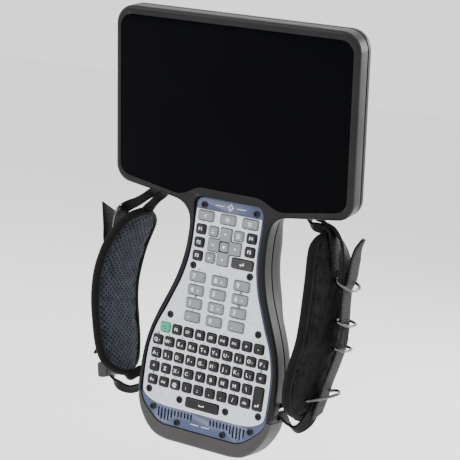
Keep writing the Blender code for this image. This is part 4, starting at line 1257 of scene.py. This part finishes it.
def swept(rings, runs=None, acrosses=None, closed=False):
    """A solid whose end face is extruded through rings of points. runs and acrosses, in millimetres
    along and across the surface, are kept in the attribute that weaves follow."""
    bm = bmesh.new()
    layer = bm.verts.layers.float_vector.new("weave")
    face = bm.faces.new([bm.verts.new(point) for point in rings[0]])
    for i, ring in enumerate(rings):
        if i:
            face = bmesh.ops.extrude_discrete_faces(bm, faces=[face])["faces"][0]
        for j, (vert, point) in enumerate(zip(face.verts, ring)):
            vert.co = point
            if runs:
                vert[layer] = (runs[i], acrosses[j], 0.0)
    if closed:
        bmesh.ops.delete(bm, geom=[face], context='FACES_ONLY')
        bmesh.ops.remove_doubles(bm, verts=bm.verts, dist=1e-3)
    return close_ends(bm)


def to_side(bm, side):
    """Set a shape from the side's own space into the model; the left side is mirrored."""
    if side == "left":
        bmesh.ops.scale(bm, verts=bm.verts, vec=(-1, 1, 1))
        bmesh.ops.reverse_faces(bm, faces=bm.faces)
    return settle(bm)


def swelled(bm, is_held, pressure, slack, cap):
    """A padded shape, remeshed and blown up as cloth. Only the points that is_held says stay put."""
    bmesh.ops.scale(bm, verts=bm.verts, vec=(CLOTH_SCALE,) * 3)
    foam = as_object("foam", bm)
    mesh = foam.data
    step = foam.modifiers.new("even_mesh", 'REMESH')
    step.mode, step.voxel_size = 'VOXEL', 1.9 * CLOTH_SCALE
    even = bpy.data.meshes.new_from_object(foam.evaluated_get(bpy.context.evaluated_depsgraph_get()))
    foam.modifiers.clear()
    foam.data = even
    held = foam.vertex_groups.new(name="held")
    held.add([v.index for v in even.vertices if is_held(v.co / CLOTH_SCALE)], 1.0, 'REPLACE')
    cloth = foam.modifiers.new("cloth", 'CLOTH')
    settings = cloth.settings
    settings.use_pressure, settings.uniform_pressure_force = True, pressure
    settings.mass, settings.shrink_min = 0.1, slack
    settings.tension_stiffness = settings.compression_stiffness = 10.0
    settings.bending_stiffness = 0.01
    settings.vertex_group_mass = "held"
    settings.effector_weights.gravity = 0.0
    cloth.collision_settings.use_collision = False
    for number in range(1, 21):
        bpy.context.scene.frame_set(number)
    finished = foam.evaluated_get(bpy.context.evaluated_depsgraph_get()).to_mesh()
    moved = [vert.co.copy() for vert in finished.vertices]
    for vert, end in zip(even.vertices, moved):
        way = end - vert.co
        if way.length > 1e-9:
            reach = cap * CLOTH_SCALE
            vert.co = vert.co + way * (reach * math.tanh(way.length / reach) / way.length)
    bpy.context.scene.frame_set(1)
    result = bmesh.new()
    result.from_mesh(even)
    bpy.data.objects.remove(foam)
    for used in (mesh, even):
        bpy.data.meshes.remove(used)
    bmesh.ops.scale(result, verts=result.verts, vec=(1 / CLOTH_SCALE,) * 3)
    return result


def nearest_station(stations, point):
    return min(stations, key=lambda s: (point.x - s.middle.x) ** 2 + (point.z - s.middle.z) ** 2)


def build_weave_group():
    """Staggered holes, a crossed thread relief and ribs, all in millimetres along a surface."""
    group, given, out = node_group(
        "woven_cloth", [("Hole Pitch", 3.9), ("Thread", 0.5), ("Rib", 1.7)],
        [("Holes", 'Float'), ("Threads", 'Float'), ("Ribs", 'Float'), ("Patches", 'Float')])
    weave = group.nodes.new('ShaderNodeAttribute')
    weave.attribute_name = "weave"
    parts = group.nodes.new('ShaderNodeSeparateXYZ')
    group.links.new(weave.outputs["Vector"], parts.inputs["Vector"])
    along, across = parts.outputs["X"], parts.outputs["Y"]
    pitch = given.outputs["Hole Pitch"]
    offsets = []
    for operation in ('ADD', 'SUBTRACT'):
        place = math_node(group, 'DIVIDE', math_node(group, operation, along, across), pitch)
        offset = math_node(group, 'SUBTRACT', math_node(group, 'FRACT', place), 0.5)
        offsets.append(math_node(group, 'MULTIPLY', offset, offset))
    distance = math_node(group, 'SQRT', math_node(group, 'ADD', *offsets))

    def wave(way, length):
        turn = math_node(group, 'DIVIDE', math_node(group, 'MULTIPLY', way, 2 * math.pi), length)
        return math_node(group, 'SINE', turn)

    thread, rib = given.outputs["Thread"], given.outputs["Rib"]
    threads = math_node(group, 'MULTIPLY', wave(along, thread), wave(across, thread))
    ribs = wave(along, rib)
    columns = wave(across, math_node(group, 'MULTIPLY', rib, 1.15))
    ribbed = math_node(group, 'ADD', math_node(group, 'MULTIPLY', ribs, 0.6),
                       math_node(group, 'MULTIPLY', columns, 0.4))
    place = group.nodes.new('ShaderNodeTexCoord')
    patches = noise_node(group, 160.0, 4.0)
    group.links.new(place.outputs["Object"], patches.inputs["Vector"])
    group.links.new(range_node(group, distance, 0.20, 0.34, 1.0, 0.0), out.inputs["Holes"])
    group.links.new(range_node(group, threads, -1.0, 1.0, 0.0, 1.0), out.inputs["Threads"])
    group.links.new(range_node(group, ribbed, -1.0, 1.0, 0.0, 1.0), out.inputs["Ribs"])
    group.links.new(range_node(group, patches.outputs["Fac"], 0.35, 0.65, 0.0, 1.0), out.inputs["Patches"])
    return group


WOVEN = build_weave_group()


def woven(name, dark, light, roughness, effect, low=0.0, high=1.0, bump=0.2, thread=0.5, rib=1.7,
          crumple=0.1, crumple_shading=0.3, sheen=0.02):
    """A cloth whose colour and relief follow one output of the weave group."""
    made = plain_material(name, light, roughness, Sheen_Weight=sheen, Sheen_Roughness=0.5,
                          Specular_IOR_Level=0.1)
    tree = made.node_tree
    shader = tree.nodes["Principled BSDF"]
    cloth = tree.nodes.new('ShaderNodeGroup')
    cloth.node_tree = WOVEN
    cloth.inputs["Thread"].default_value = thread
    cloth.inputs["Rib"].default_value = rib
    share = range_node(tree, cloth.outputs[effect], low, high, 0.0, 1.0)
    # The colour is scaled by the same noise that raises the crumple relief, as painted light and shade on
    # the crumple: with a raised bump, the crests are lighter and the hollows darker.
    patch = range_node(tree, cloth.outputs["Patches"], 0.0, 1.0, 1.0 - crumple_shading, 1.0 + crumple_shading)
    colour = mix_node(tree, share, (*dark, 1.0), (*light, 1.0))
    shade = tree.nodes.new('ShaderNodeCombineColor')
    for socket in shade.inputs[:3]:
        tree.links.new(patch, socket)
    tree.links.new(mix_node(tree, 1.0, colour, shade.outputs[0], 'MULTIPLY'), shader.inputs["Base Color"])
    height = math_node(tree, 'ADD', share, math_node(tree, 'MULTIPLY', cloth.outputs["Threads"], 0.15))
    height = math_node(tree, 'ADD', height, math_node(tree, 'MULTIPLY', cloth.outputs["Patches"],
                                                      crumple / abs(bump)))
    add_relief(tree, height, bump, 0.8)
    return made


spacer_mesh = woven("spacer_mesh", (0.026, 0.030, 0.040), (0.0015, 0.0018, 0.0025), 0.75, "Holes",
                    bump=-0.6)
# The black cloth's deep crumple carries strong painted light on its crests and painted shade in its
# hollows.
black_cloth = woven("black_cloth", (0.0022, 0.0022, 0.0026), (0.0090, 0.0092, 0.0100), 0.8, "Threads",
                    bump=0.12, thread=0.9, crumple=1.1, crumple_shading=0.75)
edge_tape = woven("edge_tape", (0.0020, 0.0020, 0.0024), (0.0055, 0.0055, 0.0060), 0.7, "Threads",
                  bump=0.08, thread=0.7)
seam_thread = woven("seam_thread", (0.010, 0.010, 0.011), (0.030, 0.030, 0.033), 0.6, "Threads", bump=0.03)
pad_trees = {}


def squared(turn, first, second):
    """Cosine and sine of an angle, on an oval whose sides are flattened by powers below 1."""
    across, up = math.cos(turn), math.sin(turn)
    return math.copysign(abs(across) ** first, across), math.copysign(abs(up) ** second, up)


def stitch(turn):
    """One stitch: a ball of thread, stretched and set in place by a matrix."""
    bm = bmesh.new()
    bmesh.ops.create_icosphere(bm, subdivisions=1, radius=1.0)
    bmesh.ops.transform(bm, verts=bm.verts, matrix=turn)
    return bm


def build_pad(side):
    stations = pad_stations(side)
    rings = []
    for station in stations[1:-1]:
        ring = []
        for i in range(28):
            a, b = squared(2 * math.pi * i / 28, 0.7, 0.7)
            thick = 2.7 * min(1.0, 0.4 + station.reach / 14.0)
            ring.append(station.middle + station.across * (a * (station.reach - 0.9))
                        + station.outward * (b * thick))
        rings.append(ring)

    def is_held(point):
        station = nearest_station(stations, point)
        return abs((point - station.middle).dot(station.across)) > station.reach - 4.6

    bm = swelled(swept(rings), is_held, pressure=3.0, slack=-0.16, cap=1.9)
    layer = bm.verts.layers.float_vector.new("weave")
    through = {}
    for vert in bm.verts:
        station = nearest_station(stations, vert.co)
        offset = vert.co - station.middle
        vert[layer] = (station.run + offset.dot(station.along), offset.dot(station.across), 0.0)
        through[vert.index] = offset.dot(station.outward)
    for face in bm.faces:
        face.material_index = 1 if sum(through[vert.index] for vert in face.verts) < 0 else 0
    pad_trees[side] = BVHTree.FromBMesh(bm)
    name = "pad_cushion_" + side
    pad = make_piece(name, to_side(bm, side), [black_cloth, spacer_mesh], "strap_" + side,
                     ["strap_pad_" + side], crease=180.0)
    smooth = pad.modifiers.new("smooth", 'SUBSURF')
    smooth.levels = smooth.render_levels = 1


def round_path(side, inset_by):
    """Down a pad's front edge and up its rear edge: (point, outward) pairs, closed."""
    stations = pad_stations(side, inset_by)
    path = [(s.middle - s.across * s.reach, s.outward) for s in stations]
    path += [(s.middle + s.across * s.reach, s.outward) for s in reversed(stations[1:-1])]
    return path + [path[0]]


def oval_sweep(path, half_wide, half_thick, sides=14):
    """A closed oval bar along a path of (point, outward) pairs."""
    rings, runs, run = [], [], 0.0
    acrosses = [half_wide * 2 * math.pi * i / sides for i in range(sides)]
    for i, (point, outward) in enumerate(path):
        before, after = path[i - 1 if i else -2][0], path[i + 1 if i < len(path) - 1 else 1][0]
        tangent = (after - before).normalized()
        beside = tangent.cross(outward).normalized()
        run += (point - path[max(i - 1, 0)][0]).length
        runs.append(run)
        rings.append([point + beside * (half_wide * math.cos(2 * math.pi * k / sides))
                      + outward * (half_thick * math.sin(2 * math.pi * k / sides)) for k in range(sides)])
    return swept(rings, runs, acrosses, closed=True)


def build_pad_edge(side):
    tape = oval_sweep(round_path(side, 2.5), 2.5, 3.3)
    make_piece("pad_edge_tape_" + side, to_side(tape, side), [edge_tape], "strap_" + side,
               crease=60.0)
    stitches = []
    path = round_path(side, 5.9)
    for face_side in (-1.0, 1.0):
        waiting = 0.0
        for (start, outward), (end, _) in zip(path, path[1:]):
            length = (end - start).length
            while waiting < length:
                point = start + (end - start) * (waiting / length)
                far = point + outward * (20.0 * face_side)
                place = pad_trees[side].ray_cast(far, -outward * face_side)[0]
                waiting += 2.6
                if place is None:
                    continue
                tangent = (end - start).normalized()
                beside = tangent.cross(outward)
                turn = Matrix((tangent * 0.85, beside * 0.3, outward * 0.28)).transposed().to_4x4()
                turn.translation = place + outward * (0.08 * face_side)
                stitches.append(stitch(turn))
            waiting -= length
    thread = gathered(stitches)
    bmesh.ops.recalc_face_normals(thread, faces=thread.faces)
    make_piece("pad_stitching_" + side, to_side(thread, side), [seam_thread], "strap_" + side,
               crease=60.0)


for side in ("left", "right"):
    build_pad(side)
    build_pad_edge(side)

# ------------------------------------------------------------------ strap webbing
# Ribbed black nylon webbing 15 mm wide, bunched where it turns round the pins. A loop hangs from
# the head, a band with a cut, loose tail runs outside each pad, and a loop holds the foot.

STRAP_JOINS = {"upper": (57.5, 6.98, 140.86), "lower": (49.0, 15.2, 7.0)}
LOOP_RADIUS = 2.45


def round_pin(join, start, end):
    """The part of a route that turns round a pin, square to the pin's own axis."""
    x, y, z = STRAP_JOINS[join]
    lean = BEND_ANGLE if join == "upper" else 0.0
    points = []
    for across, rise in arc((0, 0), LOOP_RADIUS, start, end, 7):
        points.append((x + across, y - rise * math.sin(lean), z + rise * math.cos(lean), 5.2, 0))
    return points


WEBBING = {
    "left": {
        "head_loop": [
            (88.0, 8.0, 117.5, 4.6, 20), (83.0, 8.0, 121.0, 3.8, 60), (76.0, 8.0, 125.0, 3.2, 100),
            (68.0, 7.5, 131.0, 3.0, 60), (61.6, 7.2, 136.4, 4.2, 8), *round_pin("upper", -15, 195),
            (54.6, 7.2, 135.4, 4.2, -10), (59.6, 7.0, 130.4, 3.0, -60),
            (63.6, 7.2, 125.4, 3.0, -100), (67.6, 7.5, 120.6, 4.0, -30), (73.2, 8.0, 115.0, 5.0, 0),
            (77.4, 8.0, 108.4, 6.4, 0)],
        "band": [
            (88.4, 9.0, 118.8, 7.0, 0), (89.6, 9.0, 110.0, 7.2, 0), (89.4, 9.0, 102.0, 7.4, 0),
            (90.6, 9.0, 92.0, 7.4, 0), (92.2, 9.0, 80.0, 7.4, 0), (92.8, 9.0, 68.0, 7.4, 0),
            (91.6, 9.5, 55.0, 7.4, 0), (88.6, 10.0, 42.0, 7.4, 0), (85.4, 10.5, 29.0, 7.4, 0),
            (83.6, 11.0, 18.0, 7.2, 0), (83.2, 11.5, 9.0, 7.0, 0)],
        "tail": [
            (89.8, 8.4, 82.0, 7.2, 0), (92.2, 8.0, 88.0, 7.4, 0), (94.8, 7.6, 96.0, 7.4, 0),
            (96.0, 7.5, 104.0, 7.4, 0), (97.6, 7.5, 113.0, 7.4, 3), (99.6, 7.5, 124.0, 7.4, 8)],
        "small_tail": [
            (86.4, 10.0, 28.0, 5.6, 0), (89.6, 8.5, 22.0, 5.4, 6), (92.4, 6.6, 15.0, 5.2, 10)],
        "foot_loop": [
            (82.8, 11.5, 6.4, 6.6, 0), (79.0, 12.0, -0.6, 4.6, 30), (72.6, 12.8, -4.6, 3.4, 70),
            (64.6, 13.8, -5.0, 3.2, 50), (57.8, 14.8, -1.0, 4.2, 15), (52.8, 15.2, 3.6, 5.2, 0),
            *round_pin("lower", 285, 75), (52.8, 15.2, 10.4, 5.2, 0),
            (57.4, 14.8, 11.4, 4.0, -20), (62.6, 13.6, 7.0, 3.2, -70),
            (67.6, 12.2, 3.6, 3.4, -40), (72.6, 11.4, 6.6, 5.0, -10), (77.4, 11.0, 12.6, 6.2, 0)],
    },
    "right": {
        "head_loop": [
            (84.6, 13.6, 97.0, 6.8, 0), (84.2, 12.6, 106.0, 6.4, 0), (82.2, 11.0, 116.0, 5.6, 5),
            (78.8, 9.6, 124.0, 4.8, 20), (72.6, 8.4, 130.6, 4.0, 40), (66.0, 7.4, 134.2, 3.6, 25),
            (61.4, 7.2, 136.6, 4.6, 5), *round_pin("upper", -15, 195),
            (54.6, 7.2, 135.6, 4.6, -10), (57.0, 7.2, 131.6, 3.6, -40),
            (62.2, 7.6, 130.6, 3.4, -70), (68.0, 8.2, 130.6, 4.4, -30), (72.6, 8.8, 125.4, 6.0, 0),
            (75.6, 9.2, 116.0, 7.0, 0), (77.6, 9.6, 106.0, 7.2, 0)],
        "band": [
            (84.0, 14.5, 100.0, 7.4, 0), (84.6, 14.5, 94.0, 7.4, 0), (85.2, 14.5, 85.0, 7.4, 0),
            (86.2, 14.5, 74.0, 7.4, 0), (86.8, 14.5, 65.0, 7.4, 0), (86.6, 14.5, 56.0, 7.4, 0),
            (84.0, 14.8, 44.0, 7.4, 0), (81.2, 15.0, 33.0, 7.4, 0), (79.4, 15.0, 23.0, 7.4, 0),
            (77.4, 15.0, 14.0, 7.4, 0), (75.0, 15.0, 4.0, 7.4, 0)],
        "tail": [
            (84.4, 15.2, 94.0, 7.2, 0), (86.6, 15.2, 101.0, 7.4, 0), (87.0, 15.0, 108.0, 7.4, 0),
            (87.4, 15.0, 115.0, 7.4, 0), (89.6, 14.4, 122.0, 7.2, -4), (94.2, 13.6, 129.0, 7.0, -8)],
        "foot_loop": [
            (77.2, 14.6, 23.0, 6.8, 0), (74.6, 14.6, 14.0, 5.8, 10), (70.6, 14.6, 4.0, 4.4, 40),
            (64.0, 14.8, -2.6, 3.6, 40), (57.6, 15.0, -0.6, 4.2, 15), (52.8, 15.2, 3.6, 5.2, 0),
            *round_pin("lower", 285, 75), (52.8, 15.2, 10.4, 5.2, 0),
            (57.4, 14.8, 9.8, 4.0, -20), (62.2, 13.4, 6.4, 3.6, -50),
            (67.4, 12.0, 7.6, 5.0, -20), (71.6, 11.4, 15.0, 6.2, 0)],
    },
}
WEBBING_HALF = 0.7
webbing_nylon = woven("webbing_nylon", (0.0012, 0.0012, 0.0016), (0.017, 0.0175, 0.019), 0.5, "Ribs",
                      low=0.45, high=1.0, bump=0.35, rib=1.6)


def webbing(route):
    """A flat band through (x, y, z, half width, turn in degrees about its own line) points."""
    points = curve_through(route, 7)
    rings, runs, run = [], [], 0.0
    section = [(-1, -0.35), (-0.94, -1), (-0.5, -1), (0, -1), (0.5, -1), (0.94, -1), (1, -0.35)]
    section += [(-a, -b) for a, b in section]
    for i, (x, y, z, half, turn) in enumerate(points):
        before, after = points[max(i - 1, 0)], points[min(i + 1, len(points) - 1)]
        tangent = (Vector(after[:3]) - Vector(before[:3])).normalized()
        lean = BEND_ANGLE * min(max((z - 122.0) / 16.0, 0.0), 1.0)
        level = Vector((0.0, math.cos(lean), math.sin(lean)))
        wide = level - tangent * tangent.dot(level)
        wide = Matrix.Rotation(math.radians(turn), 3, tangent) @ wide.normalized()
        normal = tangent.cross(wide)
        run += math.dist(points[max(i - 1, 0)][:3], points[i][:3])
        runs.append(run)
        thick = WEBBING_HALF * (1.0 if half > 5.0 else min(1.7, math.sqrt(7.4 / half)))
        rings.append([Vector((x, y, z)) + wide * (a * half) + normal * (b * thick) for a, b in section])
    return swept(rings, runs, [a * 7.4 for a, _ in section])


def cut_tip(bm, point, direction):
    """Cut a tail off at a slant."""
    bmesh.ops.bisect_plane(bm, geom=bm.verts[:] + bm.edges[:] + bm.faces[:], dist=1e-4, plane_co=point,
                           plane_no=direction, clear_outer=True)
    bmesh.ops.holes_fill(bm, edges=[edge for edge in bm.edges if edge.is_boundary], sides=0)
    return bm


def build_webbing(side):
    body, routes = "strap_" + side, WEBBING[side]
    for part, join, after in (("head_loop", "upper", (4.0, 0.0, -20.0)),
                              ("foot_loop", "lower", (16.0, -1.0, -3.0))):
        loop = make_piece("%s_%s" % (part, side), to_side(webbing(routes[part]), side),
                          [webbing_nylon], "case", crease=50.0)
        loop.parent = None
        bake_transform(loop)
    band = webbing(routes["band"])
    if side == "right":
        band = cut_tip(band, (76.0, 15.0, 8.6), (-0.2, 0.35, -1.0))
    make_piece("strap_band_" + side, to_side(band, side), [webbing_nylon], body,
               ["strap_webbing_" + side], crease=50.0)
    slant = {"left": ((98.0, 7.5, 117.6), (0.1, 0.48, 1.0)),
             "right": ((91.0, 14.0, 123.8), (0.2, 1.3, 1.0))}[side]
    tail = cut_tip(webbing(routes["tail"]), *slant)
    make_piece("webbing_tail_" + side, to_side(tail, side), [webbing_nylon], body, crease=50.0)
    if side == "left":
        small = cut_tip(webbing(routes["small_tail"]), (91.6, 7.0, 17.0), (0.3, 0.9, -1.0))
        make_piece("webbing_end_left", to_side(small, side), [webbing_nylon], body, crease=50.0)


for side in ("left", "right"):
    build_webbing(side)

# ------------------------------------------------------------------ strap rings, buckle and sleeve
# Bent wire rings with a black nickel finish carry and gather the webbing. The right strap has a
# sewn cloth sleeve between two rings, and the left one a moulded slider at its foot.

black_nickel = grained("black_nickel", (0.055, 0.055, 0.06), (0.095, 0.095, 0.10), (0.5, 0.5, 0.51),
                       0.20, scale=900.0, wear=0.5, bump=0.004, metallic=1.0)
slider_plastic = grained("slider_plastic", (0.010, 0.010, 0.011), (0.016, 0.016, 0.018),
                         (0.10, 0.10, 0.11), 0.4)
RINGS = {
    "left": [((88.2, 8.0, 111.0), (0.05, 1.0, 0.1), 8.2, (-0.1, -0.1, 1.0), 9.6, 1.15),
             ((93.4, 6.5, 76.0), (0.0, 1.0, 0.0), 10.0, (1.0, 0.0, 0.1), 5.0, 0.9),
             ((85.8, 10.0, 40.0), (0.0, 1.0, 0.0), 9.6, (1.0, 0.0, -0.1), 5.0, 0.9)],
    "right": [((84.4, 14.5, 98.2), (-0.1, 1.0, 0.1), 10.4, (1.0, 0.1, -0.42), 7.6, 1.0),
              ((87.2, 14.5, 73.4), (-0.1, 1.0, 0.0), 10.0, (1.0, 0.1, -0.2), 5.6, 0.9),
              ((87.4, 14.5, 56.6), (-0.1, 1.0, 0.0), 9.4, (1.0, 0.1, -0.1), 5.0, 0.9),
              ((78.6, 13.0, 23.6), (0.72, 0.62, 0.31), 12.0, (-0.62, 0.74, 0.1), 5.4, 1.0)]}


def wire_ring(centre, long_way, long_half, short_way, short_half, radius):
    """A closed oval of round wire, with flattened long sides."""
    long_way, short_way = Vector(long_way).normalized(), Vector(short_way)
    short_way = (short_way - long_way * short_way.dot(long_way)).normalized()
    normal = long_way.cross(short_way)
    path = []
    for i in range(41):
        a, b = squared(2 * math.pi * i / 40, 0.8, 0.7)
        path.append((Vector(centre) + long_way * (a * long_half) + short_way * (b * short_half), normal))
    return oval_sweep(path, radius, radius, 12)


def build_rings(side):
    rings = gathered([wire_ring(*ring) for ring in RINGS[side]])
    make_piece("wire_rings_" + side, to_side(rings, side), [black_nickel], "strap_" + side,
               crease=60.0)


def build_sleeve():
    rings, runs = [], []
    for i in range(17):
        t = i / 16
        z = 73.0 - 15.5 * t
        full = 1.0 - 0.12 * abs(2 * t - 1) ** 3
        runs.append(15.5 * t)
        ring = []
        for k in range(36):
            a, b = squared(2 * math.pi * k / 36, 0.55, 0.75)
            crumple = 0.55 * noise(Vector((a * 4.0, b * 4.0, z * 0.35)))
            ring.append(Vector((85.6 + 0.5 * t + b * (2.7 * full + crumple),
                                12.6 + a * (9.2 * full + crumple), z)))
        rings.append(ring)
    sleeve = swept(rings, runs, [k * 0.7 for k in range(36)])
    make_piece("cloth_sleeve_right", to_side(sleeve, "right"), [black_cloth], "strap_right",
               crease=70.0)
    stitches = []
    for z in (70.6, 69.2, 62.0, 60.6):
        for k in range(7):
            turn = Matrix.Diagonal((0.3, 0.85, 0.28, 1.0))
            turn.translation = Vector((88.7 - 0.05 * (73 - z) * 0.3, 6.4 + 2.1 * k, z))
            stitches.append(stitch(turn))
    make_piece("sleeve_stitching_right", to_side(gathered(stitches), "right"), [seam_thread],
               "strap_right", crease=60.0)


def build_slider():
    """A moulded bar with two slots, leaning with the webbing."""
    bar = block(79.8, 87.2, 2.6, 20.4, 0.6, 11.2, 2.0)
    slots = gathered([block(81.0, 86.0, 4.4, 18.6, z - 1.1, z + 1.1) for z in (3.8, 8.0)])
    for shape in (bar, slots):
        bmesh.ops.rotate(shape, verts=shape.verts, cent=(83.5, 11.5, 6.0),
                         matrix=Matrix.Rotation(math.radians(12), 3, 'Y'))
    make_piece("slider_left", to_side(carve(bar, slots), "left"), [slider_plastic], "strap_left",
               bevel=0.6)


for side in ("left", "right"):
    build_rings(side)
build_sleeve()
build_slider()
